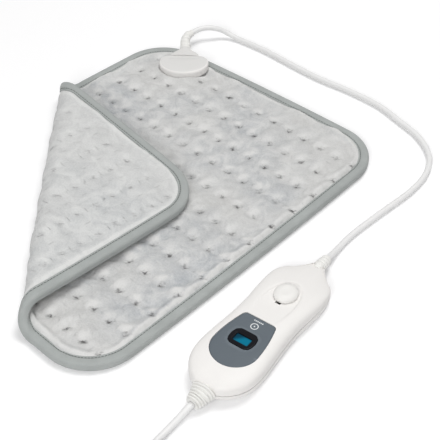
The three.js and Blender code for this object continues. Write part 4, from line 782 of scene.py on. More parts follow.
def cloth_finish(name, group, colors, depth, **values):
    """A cloth: a group's colour and relief, under a shader with its own gloss and sheen."""
    material, tree, shader = new_material(name)
    weave = group_node(tree, group, {label: (*color, 1) for label, color in colors.items()})
    feed(tree, shader, {"Base Color": weave["Color"], "Normal": bumped(tree, weave["Height"], depth),
                        **{label.replace("_", " "): value for label, value in values.items()}})
    return material


plush_group = make_plush_group()
# Plush finishes: the brushed colour is also the painted highlight on the pillows, and the pinch colour is
# painted shade.
top_plush = cloth_finish(
    "plush_top_grey", plush_group,
    {"Color": (0.60, 0.60, 0.59), "Brushed And Highlight Color": (0.72, 0.72, 0.71), "Shaded Color": (0.46, 0.48, 0.50),
     "Pinch Shade Color": (0.17, 0.17, 0.17)},
    0.7, Roughness=0.95, Specular_IOR_Level=0.15, Sheen_Weight=0.15, Sheen_Roughness=0.35)
back_plush = cloth_finish(
    "plush_back_pale", plush_group,
    {"Color": (0.60, 0.605, 0.60), "Brushed And Highlight Color": (0.73, 0.735, 0.725), "Shaded Color": (0.53, 0.545, 0.55),
     "Pinch Shade Color": (0.42, 0.42, 0.42)},
    0.5, Roughness=0.95, Specular_IOR_Level=0.15, Sheen_Weight=0.15, Sheen_Roughness=0.35)
top_cover = cover("plush_top_cover", 1, 1.0, 1.2, 0.8, top_plush)
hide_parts("pad_top_cover")
bottom_cover = cover("plush_bottom_cover", -1, 0.55, 0.35, 0.35, back_plush)
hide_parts("pad_bottom_cover")

# Edge binding: a grey-green grosgrain tape folded over the cut edges of both covers.
# One row of lockstitch near its inner edge holds it and sinks into the tape.
binding_profile = [
    (10.7, 3.0), (10.6, 3.7), (10.2, 4.1), (9.6, 4.15), (9.1, 3.85), (8.6, 3.45), (8.1, 3.9), (7.4, 4.38),
    (6, 4.5), (4, 4.5), (2.2, 4.35), (1.0, 3.8), (0.3, 2.6), (0, 1.2), (0, 0),
]
binding_loop = binding_profile + [(inset, -depth) for inset, depth in reversed(binding_profile[:-1])]
binding_loop += [(10.0, -2.9), (3.0, -2.7), (3.0, 2.7), (10.0, 2.9)]
rim_run = run_along(rim_points)


def sweep_mesh(name, profile, material):
    """A profile of insets and heights carried round the folded rim, with its run and width as UV."""
    rings = np.stack([folded(rim_points - rim_outs * inset, np.full(len(rim_points), -height))
                      for inset, height in profile], axis=1)
    stops, count = rings.shape[:2]
    faces = [(s * count + i, s * count + (i + 1) % count, (s + 1) % stops * count + (i + 1) % count,
              (s + 1) % stops * count + i) for s in range(stops) for i in range(count)]
    piece = put_mesh(name, rings.reshape(-1, 3), faces, material, None)
    face_out(piece)
    around = run_along(np.array(profile))
    layer = piece.data.uv_layers.new(name="tape")
    stop_of, spot_of = np.divmod(np.arange(stops * count), count)
    for polygon in piece.data.polygons:
        corners = list(polygon.vertices)
        wraps_run = {stop_of[k] for k in corners} == {0, stops - 1}
        wraps_loop = {spot_of[k] for k in corners} == {0, count - 1}
        for corner, loop in zip(corners, polygon.loop_indices):
            u = rim_run[-1] + 2.2 if wraps_run and stop_of[corner] == 0 else rim_run[stop_of[corner]]
            v = around[-1] + 2 if wraps_loop and spot_of[corner] == 0 else around[spot_of[corner]]
            layer.data[loop].uv = (u, v)
    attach(piece, "pad")
    return piece


def make_tape_group():
    """Grosgrain: fine ribs across the tape with fuzz between them, as height, and painted shade
    in the valleys between the ribs, broken up by noise.
    """
    group, given, result = new_group(
        "woven_tape",
        [("Color", "Color", (0.4, 0.4, 0.4, 1)), ("Valley Shade Color", "Color", (0.3, 0.3, 0.3, 1)),
         ("Rib Pitch", "Float", 0.9)],
        [("Color", "Color"), ("Height", "Float")],
    )
    place = add_node(group, "TexCoord", "Object")
    run = add_node(group, "SeparateXYZ", "X", {"Vector": add_node(group, "UVMap", "UV")})
    turns = reckon(group, "DIVIDE", run, given["Rib Pitch"])
    wave = reckon(group, "SINE", reckon(group, "MULTIPLY", turns, 2 * math.pi))
    height = reckon(group, "ADD", reckon(group, "MULTIPLY_ADD", wave, 0.5, 0.5), noise(group, place, 1400, 3))
    # Painted shade: low parts between the ribs take the valley colour, and noise breaks it up.
    shade = reckon(group, "MULTIPLY", height, noise(group, place, 55, 4))
    color = blended(group, shade, given["Valley Shade Color"], given["Color"])
    feed(group, result, {"Color": color, "Height": height})
    return group


# The valley colour is painted shade between the ribs.
tape = cloth_finish("binding_grosgrain", make_tape_group(),
                    {"Color": (0.455, 0.48, 0.47), "Valley Shade Color": (0.34, 0.36, 0.352)},
                    0.12, Roughness=0.8, Specular_IOR_Level=0.25, Sheen_Weight=0.1)
binding = sweep_mesh("edge_binding_tape", binding_loop, tape)
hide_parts("edge_binding")

# Binding stitches: lockstitch thread, one short length per stitch, sunk in the tape on both faces.
# It follows the tape's inner edge all the way round.
stitch_pitch, stitch_length, stitch_radius, stitch_inset = 3.4, 2.8, 0.34, 8.6
thread = moulded("binding_thread", (0.13, 0.145, 0.138), (0.10, 0.11, 0.105), 0.7, 2500, 0.05)


def stitch_mesh(name, side):
    """The stitches on one face of the tape: side 1 is the top, -1 the underside."""
    points, faces = [], []
    for start in np.arange(0, rim_run[-1] - stitch_length, stitch_pitch):
        stops = []
        for share in (0, 0.25, 0.5, 0.75, 1):
            stop = start + share * stitch_length
            spot, out = (np.array([np.interp(stop, rim_run, values[:, k]) for k in (0, 1)])
                         for values in (rim_points, rim_outs))
            lift = 3.58 + 0.22 * math.sin(math.pi * share)
            stops.append(folded(spot - out * stitch_inset, np.array(-side * lift)))
        base = len(points)
        for k, thickness in enumerate((0.45, 0.95, 1, 0.95, 0.45)):
            heading = unit(stops[min(k + 1, 4)] - stops[max(k - 1, 0)])
            across = unit(np.cross(heading, (0.3, 0.1, 1)))
            up = np.cross(across, heading)
            points += [stops[k] + stitch_radius * thickness * (math.cos(turn) * across + math.sin(turn) * up)
                       for turn in np.arange(6) * math.pi / 3]
        faces += [tuple(base + n for n in f) for f in loft_faces(5, 6)]
    piece = put_mesh(name, points, faces, thread, None)
    face_out(piece)
    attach(piece, "pad")


stitch_mesh("binding_stitches_above", 1)
stitch_mesh("binding_stitches_below", -1)


# Socket on the pad: a low white housing, moulded in one, with a wide bevel and a mouth for the plug.
# Its base and backing ring clamp the top cover between them.
def drawn_in(loop, inset):
    """A closed outline moved inward along its own normals."""
    before, after = np.roll(loop, 1, axis=0), np.roll(loop, -1, axis=0)
    normal = np.column_stack([(after - before)[:, 1], -(after - before)[:, 0]])
    normal /= np.linalg.norm(normal, axis=1)[:, None]
    area = np.sum(loop[:, 0] * after[:, 1] - after[:, 0] * loop[:, 1])
    return loop - normal * inset * (1 if area > 0 else -1)


def lifted(loop, height):
    """A plan outline at a height."""
    return np.column_stack([loop, np.full(len(loop), height)])


def carve(piece, *cutters):
    """Cuts closed meshes out of a closed mesh."""
    for cutter in cutters:
        taken = piece.modifiers.new("carved", "BOOLEAN")
        taken.object = cutter
        taken.solver = "EXACT"
        bpy.context.view_layer.update()
        ready = piece.evaluated_get(bpy.context.evaluated_depsgraph_get())
        made = bpy.data.meshes.new_from_object(ready)
        piece.modifiers.clear()
        piece.data = made
        bpy.data.objects.remove(cutter)


def at_socket(points):
    return turned(points, socket_centre, socket_turn)


def bores(radius, start, end):
    """Cutters for the three contacts, along the connector."""
    return [loft("cutter", at_socket(np.array([oval((x, y, plug_height), (0, 1, 0), radius, radius, 24)
                                               for y in (start, end)])), cord_sheath, None)
            for x in (-7, 0, 7)]


socket_levels = [(10.7, 1.3), (10.85, 0.7), (11.2, 0.25), (11.8, 0.0), (14.5, 0.0), (16.9, 0.0), (17.5, 0.08),
                 (18.1, 0.3), (18.6, 0.65), (19.05, 1.15), (19.4, 1.75), (19.6, 2.4), (19.72, 3.2),
                 (19.78, 4.4), (19.82, 6.0), (19.85, 8.0)]
socket_rings = [at_socket(lifted(drawn_in(socket_loop, inset), z)) for z, inset in socket_levels]
# A darker copy of the white shell plastic: painted shade for the socket's flat top, its base and the plug's
# bell.
socket_shaded_white = moulded("socket_shaded_white", (0.72, 0.715, 0.70), (0.70, 0.695, 0.68), 0.48, 2600, 0.015,
                       specular=0.35)
socket = loft("socket_housing_shell", socket_rings, socket_shaded_white, "pad")
socket.data.materials.append(white_shell)
# Painted shade: the flat top faces take the darker white, and the bevel and sides take the white shell.
for polygon in socket.data.polygons:
    polygon.material_index = int(abs(polygon.normal.z) < 0.94)
mouth_plan = np.array([(-12.4, -0.4), (12.4, -0.4), (12.4, 14), (-12.4, 14)])
mouth = loft("cutter", at_socket(np.array([lifted(mouth_plan, z) for z in (12.2, 18.6)])), cord_sheath, None)
carve(socket, mouth, *bores(1.3, -4.7, 0.5))
crisp(socket, 40)
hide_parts("socket_housing")

# Plug: two half shells welded along the middle, with a tongue that carries the contact tubes.
# The bell draws in to a neck where the flex is clamped.
bell_sections = [(0, 0.93, 0.9, 3.4), (0.02, 0.985, 0.97, 3.4), (0.06, 1, 1, 3.4), (0.24, 0.96, 1, 3.2),
                 (0.44, 0.83, 1, 2.9), (0.62, 0.63, 1.02, 2.6), (0.8, 0.46, 1.08, 2.3), (1, 0.381, 1.13, 2)]


def plug_half(name, side):
    """One half of the bell: side 1 is the upper, -1 the lower."""
    rings = []
    for share in np.concatenate([[0, 0.01, 0.02, 0.04], np.linspace(0.06, 1, 26)]):
        wide, high, power = at_section(bell_sections, share)
        ring = oval((0, 12.3 + 15 * share, plug_height), (0, 1, 0), 16 * wide, 4.6 * high, 72, power)
        ring[:, 2] = plug_height + side * np.maximum(side * (ring[:, 2] - plug_height), 0.12)
        rings.append(ring)
    # Painted shade: the whole bell takes the darker copy of the white plastic.
    piece = loft(name, at_socket(np.array(rings)), socket_shaded_white, "lead")
    carve(piece, *bores(1.4, 10, 13.4))
    crisp(piece, 42)
    return piece


plug_upper, plug_lower = plug_half("plug_half_above", 1), plug_half("plug_half_below", -1)
tongue_rings = [oval((0, along, plug_height), (0, 1, 0), 12 - shrink, 2.8 - shrink, 72, 9)
                for along, shrink in ((0.3, 0.5), (0.6, 0.2), (1.1, 0), (12.2, 0))]
tongue = loft("plug_tongue", at_socket(np.array(tongue_rings)), ivory_rubber, "lead")
carve(tongue, *bores(1.4, -1, 14))
crisp(tongue, 42)
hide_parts("plug_upper_shell")
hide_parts("plug_lower_shell")

# Plug sleeve: soft vinyl moulded over the neck, with ribs so that the flex bends in a curve.
# It turns from the plug's direction to the cord's.
plug_axis = np.array((-math.sin(socket_turn), math.cos(socket_turn), 0))
neck = np.array((*socket_centre, plug_height)) + plug_axis * 27.6
cord_out = unit(pad_cord_line[1] - pad_cord_line[0])
sleeve_end = np.array(pad_cord_route[0]) - cord_out * 0.3
neck_line = through([neck, neck + plug_axis * 6.1, (-135.4, 201.4, plug_height), sleeve_end - cord_out * 6,
                     sleeve_end], 1)
neck_sleeve = loft("plug_neck_sleeve", ribbed_rings(neck_line, 5, (6.1, 5.2), 4.4), ivory_rubber, "lead",
                   sharp=60)
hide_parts("plug_strain_relief")

# Hand control's upper shell: one satin white moulding, waisted for the hand, domed across and sloping
# towards the pad's cord. A shallow egg-shaped recess for the thumb fades out at the display.
handset_centre, handset_turn = np.array((213.2, -54)), 0.1344
handset_width, handset_length, handset_top, parting = 64, 171, 23.5, 10.5
handset_shares = ((0.5, 0.1), (0.485, 0.125), (0.465, 0.168), (0.425, 0.262), (0.385, 0.382), (0.33, 0.442),
                  (0.25, 0.457), (0.16, 0.446), (0.06, 0.428), (-0.06, 0.437), (-0.18, 0.468), (-0.28, 0.487),
                  (-0.36, 0.472), (-0.42, 0.41), (-0.465, 0.31), (-0.488, 0.225), (-0.5, 0.165))
handset_side = through([(across * handset_width, along * handset_length) for along, across in handset_shares],
                       0.5, power=0)
handset_fine = even_spaced(np.vstack([handset_side, handset_side[::-1] * (-1, 1)]), 1400)
handset_loop = even_spaced(handset_fine, 280)


def at_handset(points):
    return turned(points, handset_centre, handset_turn)


def crown_height(plan):
    """Height of the domed top over a plan point of the hand control."""
    plan = np.asarray(plan, float)
    reach = np.interp(np.arctan2(plan[:, 1], plan[:, 0]), np.arctan2(handset_fine[:, 1], handset_fine[:, 0]),
                      np.hypot(*handset_fine.T), period=2 * math.pi)
    share = np.clip(np.hypot(*plan.T) / reach, 0, 1)
    top = handset_top - 8.3 * (np.maximum(plan[:, 1] + 6, 0) / 91.5) ** 2
    return parting + (top - parting) * (1 - share ** 4.5) ** (1 / 4.5)


def egg_outline():
    """Outline of the thumb recess: round at the cord's end and narrower at the display."""
    right = bezier((11.5, -6), (13.8, 2), (15, 11), (15, 19), 30)
    angle = np.linspace(0, math.pi, 90, endpoint=False)
    crown = np.column_stack([15 * np.cos(angle), 19 + 30 * np.sin(angle)])
    left = bezier((-15, 19), (-15, 11), (-13.8, 2), (-11.5, -6), 30)
    return even_spaced(np.vstack([right, crown, left, [(-11.5, -6)]]), 180)


def quadratic(a, b, c, count):
    t = np.linspace(0, 1, count, endpoint=False)[:, None]
    return (1 - t) ** 2 * np.array(a) + 2 * t * (1 - t) * np.array(b) + t * t * np.array(c)


def plate_outline(inset):
    """Outline of the display plate: straight at the top, wider below and half oval at the bottom."""
    half_top, half, top, bottom = 15.5 - inset, 21.5 - inset, -6 - inset, -64 + inset
    corner, widest = 3.5, -43
    shoulder = (half_top + corner / 4, top - corner)
    rounded = quadratic((half_top - corner, top), (half_top, top), shoulder, 12)
    flank = quadratic(shoulder, (half, (top + widest) / 2 - corner), (half, widest), 40)
    angle = np.linspace(0, -math.pi, 80, endpoint=False)
    below = np.column_stack([half * np.cos(angle), widest + (widest - bottom) * np.sin(angle)])
    return even_spaced(np.vstack([[(0, top)], rounded, flank, below, [(-half, widest)], flank[::-1] * (-1, 1),
                                  rounded[::-1] * (-1, 1)]), 200)


lens_width, lens_length, lens_middle = 24, 18.4, -32.4
lens_shares = ((0.5, 0.06), (0.48, -0.22), (0.42, -0.4), (0.28, -0.5), (-0.28, -0.5), (-0.42, -0.4),
               (-0.48, -0.22), (-0.5, 0.06), (-0.45, 0.34), (-0.3, 0.5), (0.3, 0.5), (0.45, 0.34))


def lens_outline(inset):
    """Outline of the lens, a barrel with its corners cut twice."""
    loop = np.array([(u * (lens_width - 2 * inset), lens_middle + v * (lens_length - 2 * inset))
                     for u, v in lens_shares])
    for _ in range(2):
        ahead = np.roll(loop, -1, axis=0)
        loop = np.stack([loop * 0.88 + ahead * 0.12, loop * 0.12 + ahead * 0.88], axis=1).reshape(-1, 2)
    return even_spaced(loop, 120)


def surface(loops, scattered, height, holes):
    """A triangulated surface over plan outlines and points, open where holes are."""
    plan, edges = [], []
    for loop in loops:
        start = len(plan)
        plan += [tuple(p) for p in loop]
        edges += [(start + i, start + (i + 1) % len(loop)) for i in range(len(loop))]
    plan += [tuple(p) for p in scattered]
    found, _, triangles, *_ = delaunay_2d_cdt([Vector(p) for p in plan], edges, [], 0, 1e-7)
    found = np.array(found)
    triangles = np.array(triangles)
    middles = found[triangles].mean(1)
    kept = inside_by(loops[0], middles) > 0
    for hole in holes:
        kept &= inside_by(hole, middles) < 0
    return np.column_stack([found, height(found)]), triangles[kept]


egg_loop = egg_outline()
plate_hole = plate_outline(-0.3)
slot_loop = even_spaced(np.array([(-2.6, 18.25), (2.6, 18.25), (2.6, 44.75), (-2.6, 44.75)]), 64)


def shell_height(plan):
    """The crown with its thumb recess and the fine ring moulded round the lower sleeve."""
    crown = crown_height(plan)
    depth = np.maximum(crown - (20.6 - 0.077 * (plan[:, 1] - 32)), 0)
    ring = np.hypot(plan[:, 0], plan[:, 1] + 92)
    moulding = 0.45 * np.exp(-((ring - 14.3) / 0.6) ** 2) + 0.25 * np.exp(-((ring - 17) / 0.7) ** 2)
    return crown - depth * eased(-1.0, 0.7, inside_by(egg_loop, plan)) - moulding


def lattice(low, high, pitch, keep):
    """Points at the corners of even triangles, where a test keeps them."""
    xs, ys = np.arange(low[0], high[0], pitch), np.arange(low[1], high[1], pitch * 0.866)
    plan = np.array([(x + (j % 2) * pitch / 2, y) for j, y in enumerate(ys) for x in xs])
    return plan[keep(plan)]


crown_shares = (1, 0.9996, 0.998, 0.995, 0.99, 0.983, 0.974, 0.963, 0.95, 0.935, 0.918, 0.9, 0.88)
crown_loops = [handset_loop * share for share in crown_shares]
egg_loops = [drawn_in(egg_loop, inset) for inset in (-0.5, 0.05, 0.6, 1.15, 1.7)]


def clear_of_edges(plan):
    return ((inside_by(crown_loops[-1], plan) > 0.9) & (np.abs(inside_by(egg_loop, plan) - 0.6) > 1.7)
            & (inside_by(plate_hole, plan) < -0.8) & (inside_by(slot_loop, plan) < -0.8))


def add_walls(points, faces, loop, heights, low):
    """Walls down from an outline of a surface to a height."""
    faces = [*map(tuple, faces), *band(len(points), len(loop))]
    return np.vstack([points, np.column_stack([loop, heights]), lifted(loop, low)]), faces


shell_low = parting + 0.15
egg_kept = [loop[inside_by(plate_hole, loop) < -0.6] for loop in egg_loops]
scattered = np.vstack([lattice((-32, -86), (32, 86), 1.7, clear_of_edges), *egg_kept])
shell_points, shell_faces = surface([*crown_loops, slot_loop, plate_hole], scattered, shell_height,
                                    [slot_loop, plate_hole])
shell_points[:, 2] = np.maximum(shell_points[:, 2], shell_low)
for loop, low in ((plate_hole, 20.8), (slot_loop, 17.6)):
    heights = np.maximum(shell_height(loop), shell_low)
    shell_points, shell_faces = add_walls(shell_points, shell_faces, loop, heights, low)
start, count = len(shell_points), len(handset_loop)
shell_faces += band(start, count) + band(start + count, count)
shell_points = np.vstack([shell_points, lifted(handset_loop, shell_low),
                          lifted(drawn_in(handset_loop, 1.9), shell_low),
                          lifted(drawn_in(handset_loop, 2.1), 15.0)])
upper_shell = put_mesh("control_upper_shell", at_handset(shell_points), shell_faces, white_shell, None)
face_out(upper_shell, 0.004)
crisp(upper_shell, 48)
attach(upper_shell, "lead")
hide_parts("handset_top_shell")

# Hand control's lower shell: the same plastic, rounded to a flat foot, joined to the upper one by screws.
# The four screws sit in counterbores.
belly_shares = (1, 0.9995, 0.998, 0.995, 0.99, 0.98, 0.967, 0.95, 0.93, 0.905, 0.88, 0.855, 0.83)
belly_power, belly_top = 3.2, parting - 0.15
belly_full = (1 - belly_shares[-1] ** belly_power) ** (1 / belly_power)
belly_rings = [lifted(drawn_in(handset_loop, 2.1), 6.0), lifted(drawn_in(handset_loop, 1.9), belly_top)]
for share in belly_shares:
    fall = (1 - share ** belly_power) ** (1 / belly_power) / belly_full
    belly_rings.append(lifted(handset_loop * share, max(belly_top * (1 - fall), 0.02)))
lower_shell = loft("control_lower_shell", at_handset(np.array(belly_rings)), white_shell, "lead")
well_angle = np.arange(28) * math.pi / 14
for x, y in ((16.5, 60), (-16.5, 60), (18.5, -66), (-18.5, -66)):
    well = np.column_stack([x + 3.05 * np.cos(well_angle), y + 3.05 * np.sin(well_angle)])
    well_rings = at_handset(np.array([lifted(well, z) for z in (-1, 2.6)]))
    carve(lower_shell, loft("cutter", well_rings, cord_sheath, None))
crisp(lower_shell, 48)
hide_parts("handset_bottom_shell")

# Control sleeves: ribbed soft vinyl gripped between the two shells, a short one for the pad's cord
# and a wide strong one for the mains lead.
handset_up = np.array((-math.sin(handset_turn), math.cos(handset_turn), 0))


def on_handset(y, z):
    """A point over the hand control's long middle line."""
    return at_handset(np.array([(0, y, z)], float))[0]


upper_in = unit(pad_cord_line[-1] - pad_cord_line[-2])
upper_line = through([on_handset(85.8, 10.2), on_handset(91.8, 9.9), pad_cord_line[-1] + upper_in * 0.3], 1)
upper_root = [oval(on_handset(y, 10.2), handset_up, 5.2, 5.2, 40) for y in (81, 85.7)]
upper_ribs = ribbed_rings(upper_line, 4, (6.2, 6.2), 5.0, groove=0.55)
upper_sleeve = loft("control_sleeve_pad", [*upper_root, *upper_ribs], ivory_rubber, "lead", sharp=60)
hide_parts("handset_upper_relief")
lower_out = unit(mains_line[1] - mains_line[0])
lower_end = mains_line[0] - lower_out * 0.3
lower_line = through([on_handset(-85.8, 10.2), on_handset(-91.6, 9.7), lower_end - lower_out * 6,
                      lower_end], 1)
lower_root = [oval(on_handset(y, 10.2), -handset_up, 9.7, 7.05, 40) for y in (-81, -85.7)]
lower_ribs = ribbed_rings(lower_line, 6, (11.6, 8.4), 6.7, groove=1.3)
lower_sleeve = loft("control_sleeve_mains", [*lower_root, *lower_ribs], ivory_rubber, "lead", sharp=60)
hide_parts("handset_lower_relief")

# Display plate: a slate grey satin panel, clipped into a seat in the shell, following the crown.
# Its marks are printed in white: a dial ring with a dot, and a row of ticks.
slate = moulded("slate_panel", (0.097, 0.118, 0.138), (0.116, 0.139, 0.159), 0.5, 2200, 0.02, specular=0.25,
                wear=(0.2, 0.23, 0.26), tone_scale=25)
plate_loops = [plate_outline(inset) for inset in (0, 0.12, 0.35, 0.8)]
lens_hole = lens_outline(-0.3)


def plate_height(plan):
    """The plate's face: the crown's, flattened at the top and eased down at the edge."""
    edge = inside_by(plate_loops[0], plan)
    return np.minimum(crown_height(plan) - 0.12, 23.15) - 0.32 * (1 - eased(-0.05, 0.5, edge))


def plate_clear(plan):
    return (inside_by(plate_loops[-1], plan) > 0.8) & (inside_by(lens_hole, plan) < -0.8)


plate_points, plate_faces = surface([*plate_loops, lens_hole], lattice((-22, -65), (22, -6), 2, plate_clear),
                                    plate_height, [lens_hole])
for loop in (plate_loops[0], lens_hole):
    plate_points, plate_faces = add_walls(plate_points, plate_faces, loop, plate_height(loop), 21.5)
plate = put_mesh("display_panel", at_handset(plate_points), plate_faces, slate, None)
face_out(plate, 0.004)
crisp(plate, 40)
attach(plate, "lead")
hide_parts("display_plate")

ink = moulded("white_ink", (0.80, 0.82, 0.83), (0.72, 0.74, 0.75), 0.6, 2600, 0.01)


def ring_strip(centre, inner, outer, count):
    """A printed ring as pairs of inner and outer points."""
    return [(centre[0] + r * math.cos(a), centre[1] + r * math.sin(a))
            for a in np.linspace(0, 2 * math.pi, count) for r in (inner, outer)]


dial_centre = (0, -15.6)
strips = [ring_strip(dial_centre, 2.75, 3.5, 49), ring_strip(dial_centre, 0.001, 0.7, 17)]
strips += [[(x, -10.1), (x, -8.9), (x + 1.0, -10.1), (x + 1.0, -8.9)]
           for x in (-4.3, -2.7, -1.1, 0.5, 2.1, 3.7)]
mark_points, mark_faces = [], []
for strip in map(np.array, strips):
    start = len(mark_points)
    mark_points += list(map(tuple, np.column_stack([strip, plate_height(strip) + 0.03])))
    mark_faces += [(start + 2 * i, start + 2 * i + 1, start + 2 * i + 3, start + 2 * i + 2)
                   for i in range(len(strip) // 2 - 1)]
marks = put_mesh("panel_marks", at_handset(np.array(mark_points)), mark_faces, ink, None)
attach(marks, "lead")

# Display lens: a glossy black barrel-shaped frame pushed up through the plate, with a lit window sunk in it.
# The lit sheet under the window is a backlit liquid crystal panel.
lens_black = moulded("lens_black", (0.006, 0.006, 0.008), (0.009, 0.009, 0.012), 0.22, 900, 0.004,
                     variation=0.05, specular=0.06)
window_half, window_low, window_high = 7.4, -37.4, -29
window_corners = [(-window_half, window_low), (window_half, window_low), (window_half, window_high),
                  (-window_half, window_high)]
window_round = []
for x, y in even_spaced(np.array(window_corners), 120):
    inner = np.array((np.clip(x, 1 - window_half, window_half - 1),
                      np.clip(y, window_low + 1, window_high - 1)))
    off = (x, y) - inner
    window_round.append(inner + off / max(np.linalg.norm(off), 1))


def aligned(loop, like):
    """Turns a loop's start to face another loop's, so that a skin between them doesn't twist."""
    if np.sign(np.cross(loop[0] - loop.mean(0), loop[1] - loop.mean(0))) != np.sign(
            np.cross(like[0] - like.mean(0), like[1] - like.mean(0))):
        loop = loop[::-1]
    aim = math.atan2(*(like[0] - like.mean(0))[::-1])
    angles = np.arctan2(*(loop - loop.mean(0)).T[::-1])
    first = np.argmin(np.abs((angles - aim + math.pi) % (2 * math.pi) - math.pi))
    return np.roll(loop, -first, axis=0)


window_loop = aligned(even_spaced(np.array(window_round), 120), lens_outline(0))
frame_levels = ((0.0, 20.4), (0.0, 23.0), (0.08, 23.35), (0.35, 23.62), (0.8, 23.72), (1.1, 23.72))
window_levels = ((-0.6, 23.6), (-0.25, 23.57), (0, 23.3), (0, 22.3))
lens_rings = [at_handset(lifted(lens_outline(inset), z)) for inset, z in frame_levels]
lens_rings += [at_handset(lifted(drawn_in(window_loop, inset), z)) for inset, z in window_levels]
lens = loft("display_frame", lens_rings, lens_black, "lead", ends=False, sharp=60)
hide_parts("display_lens")

lit, lit_tree, lit_shader = new_material("lit_teal")
lit_ramp = lit_tree.nodes.new("ShaderNodeValToRGB")
lit_ramp.color_ramp.elements[0].color = (0.001, 0.016, 0.032, 1)
lit_ramp.color_ramp.elements[1].color = (0.001, 0.13, 0.215, 1)
lit_speckle = add_node(lit_tree, "TexNoise", "Fac", {"Scale": 260})
lit_glow = add_node(lit_tree, "Attribute", "Fac", attribute_name="glow")
feed(lit_tree, lit_ramp, {"Fac": reckon(lit_tree, "MULTIPLY_ADD", lit_speckle, 0.12, lit_glow)})
lit_color = lit_ramp.outputs["Color"]
feed(lit_tree, lit_shader, {"Base Color": lit_color, "Emission Color": lit_color, "Emission Strength": 0.32,
                            "Roughness": 0.5, "Specular IOR Level": 0.05})
panel_xs, panel_ys = np.linspace(-window_half, window_half, 28), np.linspace(window_low, window_high, 16)
panel_plan = np.array([(x, y) for y in panel_ys for x in panel_xs])
panel_faces = [cell(j, i, 28) for j in range(15) for i in range(27)]
lit_panel = put_mesh("lit_window", at_handset(lifted(panel_plan, 22.45)), panel_faces, lit, "lead")
panel_x, panel_y = panel_plan.T
edge_fade = (eased(-8, -5.6, panel_x) * eased(-8, -5.9, -panel_x) * eased(-38, -36.3, panel_y)
             * eased(28.4, 30.2, -panel_y))
slant = eased(-3, 3, panel_x + 0.4 - 0.92 * (panel_y + 30.5))
glow = lit_panel.data.attributes.new("glow", "FLOAT", "POINT")
glow.data.foreach_set("value", (edge_fade * (0.12 + 0.8 * slant)).astype(np.float32))

# Thumb slider: a smooth oval dome with a faint thumb dish, on a stem through the slot.
# The stem is snapped into the carriage under the shell.
knob_white = moulded("knob_cream", (0.84, 0.83, 0.805), (0.82, 0.81, 0.785), 0.48, 2600, 0.02, specular=0.35)
slope = math.atan(0.077)


def at_slider(points):
    """Points over the slider's middle, on the slope of the recess."""
    points = np.asarray(points, float)
    y, z = points[..., 1], points[..., 2]
    level = np.stack([points[..., 0], 32 + y * math.cos(slope) + z * math.sin(slope),
                      20.6 - y * math.sin(slope) + z * math.cos(slope)], axis=-1)
    return at_handset(level)


knob_levels = [(0.5, 0.5), (0.6, 0.15), (0.9, 0), (1.7, 0), (2.3, 0.12), (2.9, 0.42), (3.5, 0.95), (4.1, 1.7),
               (4.6, 2.6), (5.0, 3.6), (5.25, 4.6), (5.35, 5.6), (5.3, 6.6), (5.2, 7.6), (5.12, 8.6),
               (5.08, 9.5)]
knob_angle = np.arange(96) * math.pi / 48
knob_rings = [np.column_stack([np.cos(knob_angle) * (10.5 - inset), np.sin(knob_angle) * (12.25 - inset),
                               np.full(96, z)]) for z, inset in knob_levels]
knob = loft("thumb_knob", at_slider(np.array(knob_rings)), knob_white, "slider", sharp=60)
stem_rings = [[(-2, -5, z), (2, -5, z), (2, 5, z), (-2, 5, z)] for z in (-4.85, 1.2)]
stem = loft("thumb_stem", at_slider(stem_rings), knob_white, "slider", sharp=40)
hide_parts("thumb_slider")

# Inside pieces stay as they were made: felt carrier, silicone wire, board, switch, screws and contacts.
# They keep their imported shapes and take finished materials.
felt = moulded("needled_felt", (0.80, 0.78, 0.74), (0.70, 0.68, 0.63), 0.95, 1300, 0.5, tone_scale=140)
silicone = moulded("silicone_red", (0.45, 0.10, 0.045), (0.38, 0.08, 0.035), 0.45, 1500, 0.03)
black_plastic = moulded("switch_black", (0.022, 0.023, 0.025), (0.035, 0.036, 0.04), 0.5, 1800, 0.03,
                        wear=(0.1, 0.1, 0.105))
laminate = moulded("board_laminate", (0.025, 0.14, 0.06), (0.035, 0.19, 0.085), 0.32, 500, 0.03, coat=0.3)
zinc = moulded("zinc_plate", (0.60, 0.62, 0.63), (0.50, 0.52, 0.54), 0.3, 1100, 0.01, metallic=1.0,
               wear=(0.75, 0.76, 0.77))
finishes = {
    "heating_carrier": felt, "heating_wire": silicone, "thermostat_lead": silicone,
    "thermostat": black_plastic,
    # The socket base takes the darker white, painted shade.
    "socket_base": socket_shaded_white, "socket_backing_ring": zinc, "slider_carriage": black_plastic,
    "circuit_board": laminate, "slide_switch": black_plastic, "lcd_panel": black_plastic,
    **{f"socket_contact_{n}": nickel for n in (1, 2, 3)},
    **{f"handset_screw_{n}": zinc for n in (1, 2, 3, 4)},
}
for name, finish in finishes.items():
    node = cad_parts[name]
    node.data.materials.clear()
    node.data.materials.append(finish)


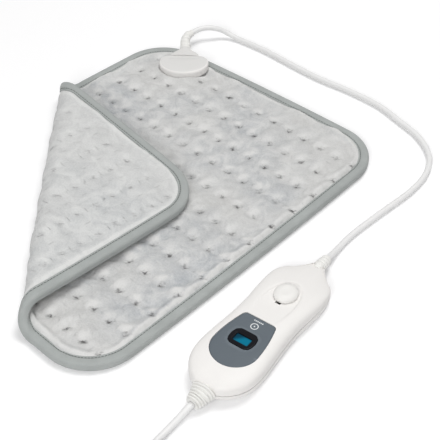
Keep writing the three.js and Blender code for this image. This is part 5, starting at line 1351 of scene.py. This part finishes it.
# Studio: a pale floor that keeps the object's shadow, a large soft lamp above and behind the pad,
# a smaller one from the viewer's side, and an even pale surround.
def background_rays(tree):
    """1 where a ray shows the background: to the camera, in gloss or through glass."""
    rays = tree.nodes.new("ShaderNodeLightPath").outputs
    seen = reckon(tree, "MAXIMUM", rays["Is Camera Ray"], rays["Is Glossy Ray"])
    return reckon(tree, "MAXIMUM", seen, rays["Is Transmission Ray"])


floor_finish, floor_tree, floor_shader = new_material("studio_floor")
feed(floor_tree, floor_shader, {"Base Color": (0.86, 0.86, 0.865, 1), "Roughness": 0.9,
                                "Specular IOR Level": 0.1})
floor_lift = reckon(floor_tree, "MULTIPLY", background_rays(floor_tree), 0.18)
floor_glow = add_node(floor_tree, "Emission", "Emission", {"Strength": floor_lift})
floor_sum = add_node(floor_tree, "AddShader", "Shader", {0: floor_shader.outputs["BSDF"], 1: floor_glow})
feed(floor_tree, floor_tree.nodes["Material Output"], {"Surface": floor_sum})
floor_half = 4000
floor_corners = [(x * floor_half, y * floor_half, -0.3) for x, y in ((-1, -1), (1, -1), (1, 1), (-1, 1))]
floor = put_mesh("studio_floor", floor_corners, [(0, 1, 2, 3)], floor_finish, None, smooth=False)

world = bpy.data.worlds.new("studio")
bpy.context.scene.world = world
world.use_nodes = True
world_tree = world.node_tree
ambient = world_tree.nodes["Background"]
feed(world_tree, ambient, {"Color": (0.99, 0.99, 1.0, 1), "Strength": 0.34})
white_view = add_node(world_tree, "Background", "Background", {"Color": (1, 1, 1, 1)})
surround = add_node(world_tree, "MixShader", "Shader", {"Fac": background_rays(world_tree),
                                                        1: ambient.outputs["Background"], 2: white_view})
feed(world_tree, world_tree.nodes["World Output"], {"Surface": surround})


def soft_lamp(name, place, size, power, tint):
    """A square lamp that looks at the middle of the view."""
    data = bpy.data.lights.new(name, "AREA")
    data.size = size
    data.energy = power
    data.color = tint
    lamp = bpy.data.objects.new(name, data)
    lamp.location = place
    lamp.rotation_euler = (Vector((0.03, 0, 0)) - Vector(place)).to_track_quat("-Z", "Y").to_euler()
    bpy.context.scene.collection.objects.link(lamp)


soft_lamp("key_lamp", (0.0, 0.74, 2.05), 1.0, 24, (1, 0.995, 0.985))
soft_lamp("front_lamp", (0.75, -1.25, 0.95), 0.6, 12, (1, 0.995, 0.99))
bpy.context.scene.view_settings.view_transform = "Standard"
